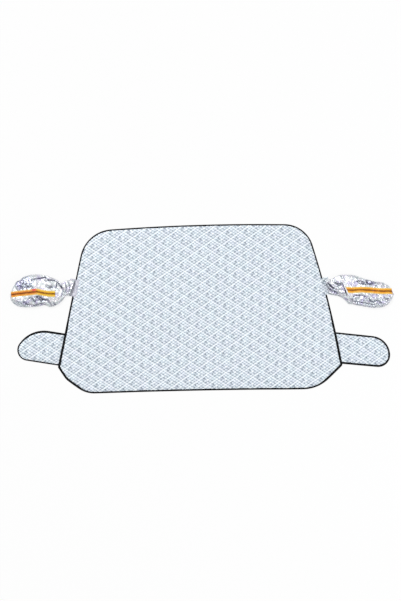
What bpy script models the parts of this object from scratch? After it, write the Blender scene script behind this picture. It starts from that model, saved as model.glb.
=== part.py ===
"""Windshield sun shade with door flaps and two mirror covers, laid flat with its silver face up.

The quilted panel and its two flaps are bound along their raw edges with folded tape. On each
side a tab is folded over the panel's edge and carries a gathered cuff with an elastic band, and
the cuff carries the hollow pouch that goes over a door mirror, with a reflective tape on top.
+X is the right of the panel, +Y its top edge, +Z up from the floor. Sizes are in metres.
"""

import math
from collections import namedtuple

import bmesh
import bpy
from mathutils import Vector

# Panel outline: each corner's distance out from the middle line and up from the centre line,
# the radius that rounds it off, and how far each edge bows out from a straight line
SHOULDER_LEFT_OUT = 0.6151
SHOULDER_LEFT_UP = 0.4157
SHOULDER_LEFT_RADIUS = 0.1774
SHOULDER_RIGHT_OUT = 0.5571
SHOULDER_RIGHT_UP = 0.4515
SHOULDER_RIGHT_RADIUS = 0.1585
HIP_LEFT_OUT = 0.7628
HIP_LEFT_DOWN = 0.3096
HIP_RIGHT_OUT = 0.7439
HIP_RIGHT_DOWN = 0.2979
HIP_INNER_RADIUS = 0.0046
HEEL_LEFT_OUT = 0.7197
HEEL_LEFT_DOWN = 0.3744
HEEL_LEFT_RADIUS = 0.0953
FOOT_LEFT_OUT = 0.6165
FOOT_LEFT_DOWN = 0.4482
FOOT_LEFT_RADIUS = 0.1443
FOOT_RIGHT_OUT = 0.6154
FOOT_RIGHT_DOWN = 0.4238
FOOT_RIGHT_RADIUS = 0.1963
TOP_BOW = 0.0096
SIDE_RIGHT_BOW = 0.0097
BOTTOM_BOW = -0.0040

# Quilted material: pressed thin at its sewn edge, full thickness inside it
EDGE_THICKNESS = 0.0016
FIELD_THICKNESS = 0.0032
QUILT_LOFT = 0.0022
QUILT_SEAM_WIDTH = 0.0075
QUILT_CELL_WIDTH = 0.0953
QUILT_CELL_HEIGHT = 0.0645
QUILT_TURN = math.radians(3.07)
QUILT_LEAN = math.radians(-2.06)
QUILT_CROSSING_RIGHT = 0.0425
QUILT_CROSSING_UP = -0.0206

# Folded binding tape: a channel of two wings and a web
BINDING_WALL = 0.0009
BINDING_WING = 0.0062
LOWER_BINDING_WING = 0.0078
FLAP_BINDING_WING = 0.0070
SEWN_GAP = 0.0003
SEAM_GAP = 0.0009
WINDOW_GAP = 0.0004

# Door flaps, measured along and across each flap from the panel's hip corner
FLAP_LEFT_TILT = math.radians(8.9)
FLAP_LEFT_ABOVE_HIP = 0.0099
FLAP_LEFT_ROOT_WIDTH = 0.1711
FLAP_LEFT_TIP_WIDTH = 0.1711
FLAP_LEFT_UPPER_LENGTH = 0.1773
FLAP_LEFT_LOWER_LENGTH = 0.2603
FLAP_LEFT_UPPER_RADIUS = 0.1577
FLAP_LEFT_LOWER_RADIUS = 0.0560
FLAP_RIGHT_TILT = math.radians(-5.5)
FLAP_RIGHT_ABOVE_HIP = 0.0059
FLAP_RIGHT_ROOT_WIDTH = 0.1639
FLAP_RIGHT_TIP_WIDTH = 0.1567
FLAP_RIGHT_UPPER_LENGTH = 0.2275
FLAP_RIGHT_LOWER_LENGTH = 0.2603
FLAP_RIGHT_UPPER_RADIUS = 0.1316
FLAP_RIGHT_LOWER_RADIUS = 0.0802

# Tabs that join the mirror covers to the panel's sides
TAB_WIDTH = 0.0900
TAB_WING = 0.0200
TAB_TONGUE = 0.0300
TAB_LEFT_UP = 0.1100
TAB_RIGHT_UP = 0.1180

# Mirror covers: the cuff and the pouch are lofted along a bent centre line from the tab
COVER_WALL = 0.0012
CUFF_START = 0.0120
CUFF_HALF_WIDTH = 0.0400
CUFF_HEIGHT = 0.0250
CUFF_NECK_SHARE = 0.30
CUFF_GATHERS = 8
GATHER_DEPTH = 0.0030
SEAM_HALF_WIDTH = 0.0660
SEAM_HEIGHT = 0.0330
POUCH_HEIGHT = 0.0430
POUCH_CREASES = 3
CREASE_DEPTH = 0.0050
ELASTIC_WIDTH = 0.0080
ELASTIC_THICKNESS = 0.0010
ELASTIC_FROM_MOUTH = 0.0050
ELASTIC_GAP = 0.0009
SEAM_LEFT_REACH = 0.0946
SEAM_LEFT_DROP = 0.0240
SEAM_LEFT_SLANT = math.radians(6.0)
POUCH_LEFT_REACH = 0.3411
POUCH_LEFT_DROP = 0.0370
POUCH_LEFT_UPPER_WIDTH = 0.1010
POUCH_LEFT_LOWER_WIDTH = 0.0690
POUCH_LEFT_TIP_SLANT = math.radians(-3.0)
SEAM_RIGHT_REACH = 0.1158
SEAM_RIGHT_DROP = 0.0080
SEAM_RIGHT_SLANT = math.radians(21.6)
POUCH_RIGHT_REACH = 0.3686
POUCH_RIGHT_DROP = 0.0390
POUCH_RIGHT_UPPER_WIDTH = 0.0675
POUCH_RIGHT_LOWER_WIDTH = 0.0870
POUCH_RIGHT_TIP_SLANT = math.radians(-7.0)

# Shape of each pouch edge: the share of its length where it is widest, and how it rounds off
POUCH_LEFT_UPPER_PEAK = 0.43
POUCH_LEFT_UPPER_POWER = 2.0
POUCH_LEFT_UPPER_ROOT = 1.3
POUCH_LEFT_LOWER_PEAK = 0.30
POUCH_LEFT_LOWER_POWER = 4.0
POUCH_LEFT_LOWER_ROOT = 1.8
POUCH_RIGHT_UPPER_PEAK = 0.15
POUCH_RIGHT_UPPER_POWER = 2.2
POUCH_RIGHT_UPPER_ROOT = 2.0
POUCH_RIGHT_LOWER_PEAK = 0.50
POUCH_RIGHT_LOWER_POWER = 2.4
POUCH_RIGHT_LOWER_ROOT = 1.5

# Section of the covers: round over the top, flattened where it lies on the floor
SECTION_MIDDLE_SHARE = 0.42
SECTION_SIDE_POWER = 0.85
SECTION_TOP_POWER = 0.90
SECTION_FLOOR_POWER = 0.35
POUCH_CREST_SHARE = 0.45
POUCH_FALL_POWER = 2.4
POUCH_SLANT_SHARE = 0.60
CREASE_TWIST = 2.2
CREASE_END_POWER = 0.8
CREASE_FREE_SIDE = 0.18
CREASE_FADE = 0.40

# Reflective tape sewn along the top of each pouch
TAPE_WIDTH = 0.0320
TAPE_THICKNESS = 0.0008
TAPE_START_SHARE = 0.012
TAPE_END_ROWS = 2
TAPE_COLUMNS = 4
TAPE_GAP = 0.0006

# Fineness of the meshes
ARC_STEP = math.radians(11.25)
BOW_STEPS = 4
POUCH_STEPS_AROUND = 24
ELASTIC_STEPS_AROUND = 16
GATHER_STEPS = 4
CUFF_ROWS = 4
POUCH_ROWS = 11

# Working distances: how far cutters run past the cloth, and when two points are one
CUTTER_REACH = 0.02
WELD_DISTANCE = 0.00001

# Heights of the sewn edge inside its binding
EDGE_BOTTOM = BINDING_WALL + SEWN_GAP
EDGE_TOP = EDGE_BOTTOM + EDGE_THICKNESS
BINDING_TOP = EDGE_TOP + SEWN_GAP + BINDING_WALL
BINDING_OUTSIDE = SEWN_GAP + BINDING_WALL

# The hip corners turn round the binding's inner edge
HIP_RADIUS = HIP_INNER_RADIUS + LOWER_BINDING_WING + SEWN_GAP

Corner = namedtuple("Corner", "place radius bow")
Flap = namedtuple("Flap", "side tilt above_hip root tip upper lower upper_radius lower_radius")
Edge = namedtuple("Edge", "width peak power root")
Cover = namedtuple("Cover", "side seam seam_slant tip tip_slant upper lower edge_slant")


def clear_scene():
    """Removes every object that is in the scene."""
    for obj in list(bpy.data.objects):
        bpy.data.objects.remove(obj, do_unlink=True)


def new_collection(name):
    collection = bpy.data.collections.new(name)
    bpy.context.scene.collection.children.link(collection)
    return collection


def new_material(name, colour, roughness, metallic=0.0):
    material = bpy.data.materials.new(name)
    material.use_nodes = True
    shader = material.node_tree.nodes["Principled BSDF"]
    shader.inputs["Base Color"].default_value = (*colour, 1.0)
    shader.inputs["Roughness"].default_value = roughness
    shader.inputs["Metallic"].default_value = metallic
    material.diffuse_color = (*colour, 1.0)
    return material


def add_part(name, mesh, material, collection, root):
    """Puts a mesh in the scene as one named part that follows the root."""
    obj = bpy.data.objects.new(name, mesh)
    mesh.materials.clear()
    mesh.materials.append(material)
    collection.objects.link(obj)
    obj.parent = root
    return obj


def add_cutter(name, mesh, collection, root):
    """Puts a mesh in the scene as a tool for Booleans, which no render shows."""
    obj = bpy.data.objects.new(name, mesh)
    collection.objects.link(obj)
    obj.parent = root
    obj.hide_render = True
    obj.display_type = "WIRE"
    return obj


def add_boolean(obj, operation, other):
    modifier = obj.modifiers.new(operation.title(), "BOOLEAN")
    modifier.operation = operation
    modifier.object = other
    modifier.solver = "EXACT"


def smooth_step(share):
    share = min(max(share, 0.0), 1.0)
    return share * share * (3.0 - 2.0 * share)


def mix(first, second, share):
    return first + (second - first) * share


# Outlines


def rounded_outline(corners):
    """A closed outline through corners, each rounded by its radius, with its edges bowed."""
    count = len(corners)
    places = [corner.place for corner in corners]
    arms = []
    for index in range(count):
        before = (places[index - 1] - places[index]).normalized()
        after = (places[(index + 1) % count] - places[index]).normalized()
        arms.append((before, after, before.angle(after) / 2.0))
    reach = [corner.radius / math.tan(arm[2]) for corner, arm in zip(corners, arms)]
    fitted = list(reach)
    for index in range(count):
        following = (index + 1) % count
        length = (places[following] - places[index]).length
        share = min(1.0, 0.99 * length / max(reach[index] + reach[following], WELD_DISTANCE))
        fitted[index] = min(fitted[index], reach[index] * share)
        fitted[following] = min(fitted[following], reach[following] * share)
    arcs = []
    for place, arm, run in zip(places, arms, fitted):
        if run == 0.0:
            arcs.append([place])
            continue
        before, after, half_angle = arm
        radius = run * math.tan(half_angle)
        centre = place + (before + after).normalized() * (radius / math.sin(half_angle))
        spoke = place + before * run - centre
        turn = (place + after * run - centre).angle_signed(spoke)
        steps = max(2, math.ceil(abs(turn) / ARC_STEP))
        arcs.append([centre + rotated(spoke, turn * step / steps) for step in range(steps + 1)])
    outline = []
    for index, arc in enumerate(arcs):
        outline.extend(arc)
        start = arc[-1]
        end = arcs[(index + 1) % count][0]
        bow = corners[index].bow
        outward = Vector((start.y - end.y, end.x - start.x)).normalized()
        for step in range(1, BOW_STEPS if bow else 1):
            share = step / BOW_STEPS
            outline.append(start.lerp(end, share) + outward * (4.0 * bow * share * (1.0 - share)))
    return outline


def rotated(vector, angle):
    """The flat vector turned counterclockwise by the angle."""
    cosine = math.cos(angle)
    sine = math.sin(angle)
    return Vector((vector.x * cosine - vector.y * sine, vector.x * sine + vector.y * cosine))


def offset_outline(outline, distance):
    """The clockwise outline moved out by the distance, with mitred corners."""
    moved = []
    for index, point in enumerate(outline):
        back = (point - outline[index - 1]).normalized()
        ahead = (outline[(index + 1) % len(outline)] - point).normalized()
        back_normal = Vector((-back.y, back.x))
        ahead_normal = Vector((-ahead.y, ahead.x))
        mitre = (back_normal + ahead_normal) / (1.0 + back_normal.dot(ahead_normal))
        moved.append(point + mitre * distance)
    return moved


def distance_at_height(outline, side, height):
    """How far along the outline its side edge passes the height."""
    travelled = 0.0
    for index, point in enumerate(outline):
        following = outline[(index + 1) % len(outline)]
        length = (following - point).length
        crosses = (point.y - height) * (following.y - height) <= 0.0
        if crosses and point.x * side > 0.0 and following.y != point.y:
            return travelled + length * (height - point.y) / (following.y - point.y)
        travelled += length
    raise ValueError(f"the outline doesn't reach the height {height}")


def point_at(outline, distance):
    """The place that lies this far along the closed outline."""
    return stretch(outline, distance, distance)[0]


def stretch(outline, start, end):
    """The points of the closed outline from one distance along it to another."""
    points = outline + outline[:1]
    total = sum((b - a).length for a, b in zip(points, points[1:]))
    if end < start:
        end += total
    picked = []
    travelled = 0.0
    for lap in range(3):
        for near, far in zip(points, points[1:]):
            length = (far - near).length
            for wanted in (start, end):
                if travelled <= wanted < travelled + length:
                    picked.append((wanted, near.lerp(far, (wanted - travelled) / length)))
            if start < travelled < end:
                picked.append((travelled, near))
            travelled += length
    picked.sort(key=lambda item: item[0])
    chosen = [picked[0][1]]
    for _, point in picked[1:]:
        if (point - chosen[-1]).length > WELD_DISTANCE:
            chosen.append(point)
    return chosen


# Solids from outlines


def face_outward(solid):
    """Turns the faces of a closed mesh so that they all point out."""
    bmesh.ops.recalc_face_normals(solid, faces=solid.faces)
    if solid.calc_volume(signed=True) < 0.0:
        bmesh.ops.reverse_faces(solid, faces=solid.faces)


def mesh_of_curve(curve_object):
    """The closed mesh of a curve object, which is removed with its guide."""
    bpy.context.view_layer.update()
    graph = bpy.context.evaluated_depsgraph_get()
    mesh = bpy.data.meshes.new_from_object(curve_object.evaluated_get(graph))
    guide = curve_object.data.bevel_object
    bpy.data.objects.remove(curve_object, do_unlink=True)
    if guide:
        bpy.data.objects.remove(guide, do_unlink=True)
    solid = bmesh.new()
    solid.from_mesh(mesh)
    bmesh.ops.remove_doubles(solid, verts=solid.verts, dist=WELD_DISTANCE)
    face_outward(solid)
    solid.to_mesh(mesh)
    solid.free()
    return mesh


def flat_curve(name, points, cyclic):
    """A 2D curve object with straight runs between the points."""
    curve = bpy.data.curves.new(name, "CURVE")
    curve.dimensions = "2D"
    curve.fill_mode = "NONE"
    spline = curve.splines.new("POLY")
    spline.points.add(len(points) - 1)
    for target, point in zip(spline.points, points):
        target.co = (point[0], point[1], 0.0, 1.0)
    spline.use_cyclic_u = cyclic
    obj = bpy.data.objects.new(name, curve)
    bpy.context.scene.collection.objects.link(obj)
    return obj


def prism(name, outline, low, high):
    """The mesh of a flat outline given a thickness from one height to another."""
    obj = flat_curve(name, outline, True)
    obj.data.fill_mode = "BOTH"
    obj.data.extrude = (high - low) / 2.0
    mesh = mesh_of_curve(obj)
    for vertex in mesh.vertices:
        vertex.co.z += (high + low) / 2.0
    return mesh


def through_cut(name, outline):
    """The mesh of a cutter of this outline that runs right through the cloth."""
    return prism(name, outline, -CUTTER_REACH, CUTTER_REACH)


def swept(name, path, section):
    """The mesh of a section, given as distances out and up, carried along an open flat path."""
    guide = flat_curve(name + "_section", [(-out, up) for out, up in section], True)
    obj = flat_curve(name, path, False)
    obj.data.bevel_mode = "OBJECT"
    obj.data.bevel_object = guide
    obj.data.use_fill_caps = True
    return mesh_of_curve(obj)


def binding_section(wing):
    """The folded tape's channel: closed outside the edge, open towards the cloth."""
    outer = SEWN_GAP + BINDING_WALL
    upper = EDGE_TOP + SEWN_GAP
    return [
        (-wing, 0.0),
        (outer, 0.0),
        (outer, BINDING_TOP),
        (-wing, BINDING_TOP),
        (-wing, upper),
        (SEWN_GAP, upper),
        (SEWN_GAP, BINDING_WALL),
        (-wing, BINDING_WALL),
    ]


def panel_outline():
    return rounded_outline(
        [
            Corner(Vector((-SHOULDER_LEFT_OUT, SHOULDER_LEFT_UP)), SHOULDER_LEFT_RADIUS, TOP_BOW),
            Corner(
                Vector((SHOULDER_RIGHT_OUT, SHOULDER_RIGHT_UP)),
                SHOULDER_RIGHT_RADIUS,
                SIDE_RIGHT_BOW,
            ),
            Corner(Vector((HIP_RIGHT_OUT, -HIP_RIGHT_DOWN)), HIP_RADIUS, 0.0),
            Corner(Vector((FOOT_RIGHT_OUT, -FOOT_RIGHT_DOWN)), FOOT_RIGHT_RADIUS, BOTTOM_BOW),
            Corner(Vector((-FOOT_LEFT_OUT, -FOOT_LEFT_DOWN)), FOOT_LEFT_RADIUS, 0.0),
            Corner(Vector((-HEEL_LEFT_OUT, -HEEL_LEFT_DOWN)), HEEL_LEFT_RADIUS, 0.0),
            Corner(Vector((-HIP_LEFT_OUT, -HIP_LEFT_DOWN)), HIP_RADIUS, 0.0),
        ]
    )


# Quilting


def quilt_slab(outline):
    """A closed slab under the outline whose top is raised into rhombic pillows."""
    half_wide = rotated(Vector((QUILT_CELL_WIDTH / 2.0, 0.0)), QUILT_TURN)
    half_high = rotated(Vector((0.0, QUILT_CELL_HEIGHT / 2.0)), QUILT_LEAN)
    rise = half_wide + half_high
    fall = half_wide - half_high
    crossing = Vector((QUILT_CROSSING_RIGHT, QUILT_CROSSING_UP))
    low_x = min(point.x for point in outline) - QUILT_CELL_WIDTH
    high_x = max(point.x for point in outline) + QUILT_CELL_WIDTH
    low_y = min(point.y for point in outline) - QUILT_CELL_WIDTH
    high_y = max(point.y for point in outline) + QUILT_CELL_WIDTH
    reach = max(abs(low_x), abs(high_x)) + max(abs(low_y), abs(high_y))
    cells = math.ceil(2.0 * reach / QUILT_CELL_HEIGHT)
    slab = bmesh.new()
    bmesh.ops.create_grid(slab, x_segments=2 * cells, y_segments=2 * cells, size=cells)
    for vertex in slab.verts:
        place = crossing + rise * round(vertex.co.x) + fall * round(vertex.co.y)
        vertex.co = (place.x, place.y, FIELD_THICKNESS)
    away = []
    for face in slab.faces:
        middle = face.calc_center_median()
        if not (low_x < middle.x < high_x and low_y < middle.y < high_y):
            away.append(face)
    bmesh.ops.delete(slab, geom=away, context="FACES")
    bmesh.ops.recalc_face_normals(slab, faces=slab.faces)
    if slab.faces[:][0].normal.z < 0.0:
        bmesh.ops.reverse_faces(slab, faces=slab.faces)
    top = slab.faces[:]
    lower = bmesh.ops.extrude_face_region(slab, geom=top, use_keep_orig=True)["geom"]
    under = [item for item in lower if isinstance(item, bmesh.types.BMFace)]
    for vertex in [item for item in lower if isinstance(item, bmesh.types.BMVert)]:
        vertex.co.z = 0.0
    pillows = [face for face in slab.faces if face.calc_center_median().z > FIELD_THICKNESS / 1.5]
    bmesh.ops.dissolve_faces(slab, faces=under, use_verts=True)
    face_outward(slab)
    bmesh.ops.inset_individual(
        slab, faces=pillows, thickness=QUILT_SEAM_WIDTH, depth=QUILT_LOFT, use_even_offset=True
    )
    face_outward(slab)
    mesh = bpy.data.meshes.new("quilt")
    slab.to_mesh(mesh)
    slab.free()
    return mesh


def tab_footprint(outline, centre_distance):
    """The outline of the ground that a tab covers, with its clearance, over the panel's edge."""
    reach = TAB_WIDTH / 2.0 + SEWN_GAP
    path = stretch(outline, centre_distance - reach, centre_distance + reach)
    along = (path[-1] - path[0]).normalized()
    outward = Vector((-along.y, along.x))
    inner = [point - outward * (TAB_WING + SEWN_GAP) for point in reversed(path)]
    return [point + outward * TAB_TONGUE for point in path] + inner


def make_panel(outline, tab_distances, material, shade, cutters, root):
    """The main panel: the quilted field with a thin plain edge for the binding and tabs."""
    wing = LOWER_BINDING_WING + SEWN_GAP
    field = through_cut("panel_field", offset_outline(outline, -wing))
    edge = prism("panel_edge", outline, EDGE_BOTTOM, EDGE_TOP)
    panel = add_part("main_panel", quilt_slab(outline), material, shade, root)
    add_boolean(panel, "INTERSECT", add_cutter("panel_field", field, cutters, root))
    for distance in tab_distances:
        ground = through_cut("tab_ground", tab_footprint(outline, distance))
        add_boolean(panel, "DIFFERENCE", add_cutter("tab_ground", ground, cutters, root))
    add_boolean(panel, "UNION", add_cutter("panel_edge", edge, cutters, root))


# Door flaps


def flap_outline(flap):
    """The flap's clockwise outline, which runs on under the panel past its hip."""
    hip_out = HIP_RIGHT_OUT if flap.side > 0 else HIP_LEFT_OUT
    hip_down = HIP_RIGHT_DOWN if flap.side > 0 else HIP_LEFT_DOWN
    hidden = max(flap.root, flap.tip)
    taper = (flap.root - flap.tip) / 2.0
    local = [
        (-hidden, flap.above_hip + flap.root, 0.0),
        (flap.upper, flap.above_hip + flap.root - taper, flap.upper_radius),
        (flap.lower, flap.above_hip + taper, flap.lower_radius),
        (-hidden, flap.above_hip, 0.0),
    ]
    corners = []
    for along, across, radius in local:
        place = rotated(Vector((along, across)), flap.tilt)
        world = Vector((flap.side * (hip_out + place.x), place.y - hip_down))
        corners.append(Corner(world, radius, 0.0))
    if flap.side < 0:
        corners.reverse()
    return rounded_outline(corners)


def make_flap(flap, name, outline, materials, shade, cutters, root):
    """One flap with its own edge binding, both ending at the panel's binding."""
    own = flap_outline(flap)
    wing = FLAP_BINDING_WING + SEWN_GAP
    field = through_cut(name + "_field", offset_outline(own, -wing))
    edge = prism(name + "_edge", own, EDGE_BOTTOM, EDGE_TOP)
    at_edge = through_cut(name + "_panel", offset_outline(outline, SEWN_GAP))
    clear = offset_outline(outline, BINDING_OUTSIDE + SEWN_GAP)
    past_binding = add_cutter(name + "_clear", through_cut(name, clear), cutters, root)
    tongue = add_cutter(name + "_edge", edge, cutters, root)
    add_boolean(tongue, "DIFFERENCE", add_cutter(name + "_panel", at_edge, cutters, root))
    cloth = add_part(name, quilt_slab(own), materials["quilt"], shade, root)
    add_boolean(cloth, "INTERSECT", add_cutter(name + "_field", field, cutters, root))
    add_boolean(cloth, "DIFFERENCE", past_binding)
    add_boolean(cloth, "UNION", tongue)
    hidden = [is_hidden_end(point, flap) for point in own]
    start = next(index for index in range(len(own)) if hidden[index - 1] and not hidden[index]) - 1
    path = own[start:] + own[:start]
    section = binding_section(FLAP_BINDING_WING)
    tape = add_part(
        name + "_binding", swept(name + "_binding", path, section), materials["tape"], shade, root
    )
    add_boolean(tape, "DIFFERENCE", past_binding)
    return own


def is_hidden_end(point, flap):
    """Whether the point of a flap's outline lies at its end under the panel."""
    hip_out = HIP_RIGHT_OUT if flap.side > 0 else HIP_LEFT_OUT
    return point.x * flap.side < hip_out - min(flap.root, flap.tip) / 2.0


# Mirror covers


def width_along(edge, share):
    """Half the pouch's width at a share of its length, from the seam to the round tip."""
    if share < edge.peak:
        return mix(SEAM_HALF_WIDTH, edge.width, smooth_step(share / edge.peak))
    tail = (share - edge.peak) / (1.0 - edge.peak)
    return edge.width * max(0.0, 1.0 - tail**edge.power) ** (1.0 / edge.root)


def cuff_frame(cover, share):
    """Centre, slant, half widths, height, base and gather depth along the cuff."""
    grown = smooth_step((share - CUFF_NECK_SHARE) / (1.0 - CUFF_NECK_SHARE))
    start = Vector((CUFF_START, 0.0))
    centre = start.lerp(cover.seam, share)
    centre.y = mix(0.0, cover.seam.y, smooth_step(share))
    slant = mix(cover.edge_slant, cover.seam_slant, share)
    half = mix(CUFF_HALF_WIDTH, SEAM_HALF_WIDTH, grown)
    height = mix(CUFF_HEIGHT, SEAM_HEIGHT, smooth_step(share))
    base = (BINDING_WALL + SEWN_GAP) * (1.0 - grown)
    return centre, slant, half, half, height, base, GATHER_DEPTH * (1.0 - grown)


def pouch_frame(cover, share):
    """Centre, slant, half widths, height, base and no gathers along the pouch."""
    centre = cover.seam.lerp(cover.tip, share)
    slant = mix(cover.seam_slant, cover.tip_slant, smooth_step(share / POUCH_SLANT_SHARE))
    upper = width_along(cover.upper, share)
    lower = width_along(cover.lower, share)
    rise = mix(SEAM_HEIGHT, POUCH_HEIGHT, smooth_step(share / POUCH_CREST_SHARE))
    tail = max(0.0, (share - POUCH_CREST_SHARE) / (1.0 - POUCH_CREST_SHARE))
    fall = math.sqrt(max(0.0, 1.0 - tail**POUCH_FALL_POWER))
    return centre, slant, upper, lower, rise * fall, 0.0, 0.0


def cover_point(cover, frame, angle, inset, creases=0.0):
    """A point on the cover's section: round over the top and flattened on the floor."""
    centre, slant, upper, lower, height, base, gather = frame
    cosine = math.cos(angle)
    sine = math.sin(angle)
    half = max((upper if cosine > 0.0 else lower) - inset, 0.0)
    across = math.copysign(abs(cosine) ** SECTION_SIDE_POWER, cosine) * half
    middle = SECTION_MIDDLE_SHARE * height
    if sine >= 0.0:
        rise = max(height - middle - inset, 0.0)
        lift = middle + rise * sine**SECTION_TOP_POWER - creases * sine * sine
    else:
        lift = middle - max(middle - inset, 0.0) * abs(sine) ** SECTION_FLOOR_POWER
    pull = gather * (math.cos(CUFF_GATHERS * angle) - 1.0) / 2.0
    across += cosine * pull
    lift += sine * pull
    out = centre.x - across * math.sin(slant)
    up = centre.y + across * math.cos(slant)
    return Vector((cover.side * out, up, base + lift))


def row_share(row):
    """The share of the pouch's length at a share of its rows, which close up towards the tip."""
    return math.sin(row * math.pi / 2.0)


def tube_mesh(name, rows, around, place):
    """An open tube from a grid wrapped round, with each vertex placed by its row and turn."""
    tube = bmesh.new()
    bmesh.ops.create_grid(tube, x_segments=around, y_segments=rows, size=0.5)
    for vertex in tube.verts:
        turn = 2.0 * math.pi * (vertex.co.x + 0.5)
        vertex.co = place(vertex.co.y + 0.5, turn)
    bmesh.ops.remove_doubles(tube, verts=tube.verts, dist=WELD_DISTANCE)
    bmesh.ops.recalc_face_normals(tube, faces=tube.faces)
    highest = max(tube.faces, key=lambda face: face.calc_center_median().z)
    if highest.normal.z < 0.0:
        bmesh.ops.reverse_faces(tube, faces=tube.faces)
    mesh = bpy.data.meshes.new(name)
    tube.to_mesh(mesh)
    tube.free()
    mesh.shade_smooth()
    return mesh


def add_wall(obj, thickness):
    """Thickens an open surface inwards."""
    modifier = obj.modifiers.new("Wall", "SOLIDIFY")
    modifier.thickness = thickness
    modifier.offset = -1.0


def make_tab(name, outline, centre_distance, material, shade, root):
    """A tab folded over the panel's edge, whose lower layer runs out as a tongue."""
    path = stretch(outline, centre_distance - TAB_WIDTH / 2.0, centre_distance + TAB_WIDTH / 2.0)
    upper = EDGE_TOP + SEWN_GAP
    section = [
        (-TAB_WING, 0.0),
        (TAB_TONGUE, 0.0),
        (TAB_TONGUE, BINDING_WALL),
        (BINDING_OUTSIDE, BINDING_WALL),
        (BINDING_OUTSIDE, BINDING_TOP),
        (-TAB_WING, BINDING_TOP),
        (-TAB_WING, upper),
        (SEWN_GAP, upper),
        (SEWN_GAP, BINDING_WALL),
        (-TAB_WING, BINDING_WALL),
    ]
    return add_part(name, swept(name, path, section), material, shade, root)


def crease_depth(share, angle):
    """Broad creases that run aslant down both sides of the stiff tape on top of the pouch."""
    wave = math.sin(2.0 * math.pi * POUCH_CREASES * share + CREASE_TWIST * math.cos(angle))
    ends = math.sin(math.pi * min(max(share, 0.0), 1.0)) ** CREASE_END_POWER
    beside = smooth_step((abs(math.cos(angle)) - CREASE_FREE_SIDE) / CREASE_FADE)
    return CREASE_DEPTH * ends * beside * (0.5 + 0.5 * wave)


def make_cover(cover, side_name, origin, materials, shade, root):
    """One mirror cover: cuff, elastic band, pouch and reflective tape."""
    cuff_length = (cover.seam - Vector((CUFF_START, 0.0))).length
    seam_share = SEAM_GAP / cuff_length
    where = Vector((origin.x, origin.y, 0.0))

    def on_cuff(row, turn):
        share = row * (1.0 - seam_share)
        return cover_point(cover, cuff_frame(cover, share), turn, 0.0) + where

    cuff = tube_mesh(side_name + "_mirror_cuff", CUFF_ROWS, GATHER_STEPS * CUFF_GATHERS, on_cuff)
    cuff_part = add_part(side_name + "_mirror_cuff", cuff, materials["foil"], shade, root)
    add_wall(cuff_part, COVER_WALL)

    inset = COVER_WALL + GATHER_DEPTH + ELASTIC_GAP

    def on_elastic(row, turn):
        share = (ELASTIC_FROM_MOUTH + ELASTIC_WIDTH * row) / cuff_length
        frame = cuff_frame(cover, share)
        return cover_point(cover, frame[:6] + (0.0,), turn, inset) + where

    band = tube_mesh(side_name + "_mirror_elastic", 1, ELASTIC_STEPS_AROUND, on_elastic)
    band_part = add_part(side_name + "_mirror_elastic", band, materials["elastic"], shade, root)
    add_wall(band_part, ELASTIC_THICKNESS)

    def on_pouch(row, turn):
        share = row_share(row)
        depth = crease_depth(share, turn)
        return cover_point(cover, pouch_frame(cover, share), turn, 0.0, depth) + where

    pouch = tube_mesh(side_name + "_mirror_pouch", POUCH_ROWS, POUCH_STEPS_AROUND, on_pouch)
    pouch_part = add_part(side_name + "_mirror_pouch", pouch, materials["foil"], shade, root)
    add_wall(pouch_part, COVER_WALL)
    make_reflector(cover, side_name, where, pouch_part, materials["reflector"], shade, root)


def make_reflector(cover, side_name, where, pouch, material, shade, root):
    """The reflective tape: a flat strip laid down on the pouch, then thickened."""
    strip = bmesh.new()
    rows = POUCH_ROWS - TAPE_END_ROWS
    bmesh.ops.create_grid(strip, x_segments=2 * rows, y_segments=TAPE_COLUMNS, size=0.5)
    for vertex in strip.verts:
        share = max(TAPE_START_SHARE, row_share((vertex.co.x + 0.5) * rows / POUCH_ROWS))
        centre, slant = pouch_frame(cover, share)[:2]
        across = vertex.co.y * TAPE_WIDTH
        out = centre.x - across * math.sin(slant)
        up = centre.y + across * math.cos(slant)
        vertex.co = where + Vector((cover.side * out, up, 2.0 * POUCH_HEIGHT))
    bmesh.ops.recalc_face_normals(strip, faces=strip.faces)
    if strip.faces[:][0].normal.z < 0.0:
        bmesh.ops.reverse_faces(strip, faces=strip.faces)
    mesh = bpy.data.meshes.new(side_name + "_reflective_tape")
    strip.to_mesh(mesh)
    strip.free()
    tape = add_part(side_name + "_reflective_tape", mesh, material, shade, root)
    wrap = tape.modifiers.new("On pouch", "SHRINKWRAP")
    wrap.target = pouch
    wrap.wrap_method = "PROJECT"
    wrap.use_project_z = True
    wrap.use_negative_direction = True
    wrap.use_positive_direction = False
    lift = tape.modifiers.new("Clear of cloth", "DISPLACE")
    lift.direction = "NORMAL"
    lift.mid_level = 0.0
    lift.strength = TAPE_GAP
    wall = tape.modifiers.new("Thickness", "SOLIDIFY")
    wall.thickness = TAPE_THICKNESS
    wall.offset = 1.0


def cut_flap_window(binding, own, name, cutters, root):
    """Opens the binding's web where the flap's edge passes into it."""
    window = prism(
        name + "_window",
        offset_outline(own, SEWN_GAP),
        EDGE_BOTTOM - WINDOW_GAP,
        EDGE_TOP + WINDOW_GAP,
    )
    add_boolean(binding, "DIFFERENCE", add_cutter(name + "_window", window, cutters, root))


def centre_on_floor(shade, root):
    """Moves the root so that the shade's box stands centred on the origin."""
    bpy.context.view_layer.update()
    graph = bpy.context.evaluated_depsgraph_get()
    corners = []
    for obj in shade.objects:
        shaped = obj.evaluated_get(graph)
        corners.extend(shaped.matrix_world @ Vector(corner) for corner in shaped.bound_box)
    low = [min(corner[axis] for corner in corners) for axis in range(3)]
    high = [max(corner[axis] for corner in corners) for axis in range(3)]
    root.location = (-(low[0] + high[0]) / 2.0, -(low[1] + high[1]) / 2.0, -low[2])


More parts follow.
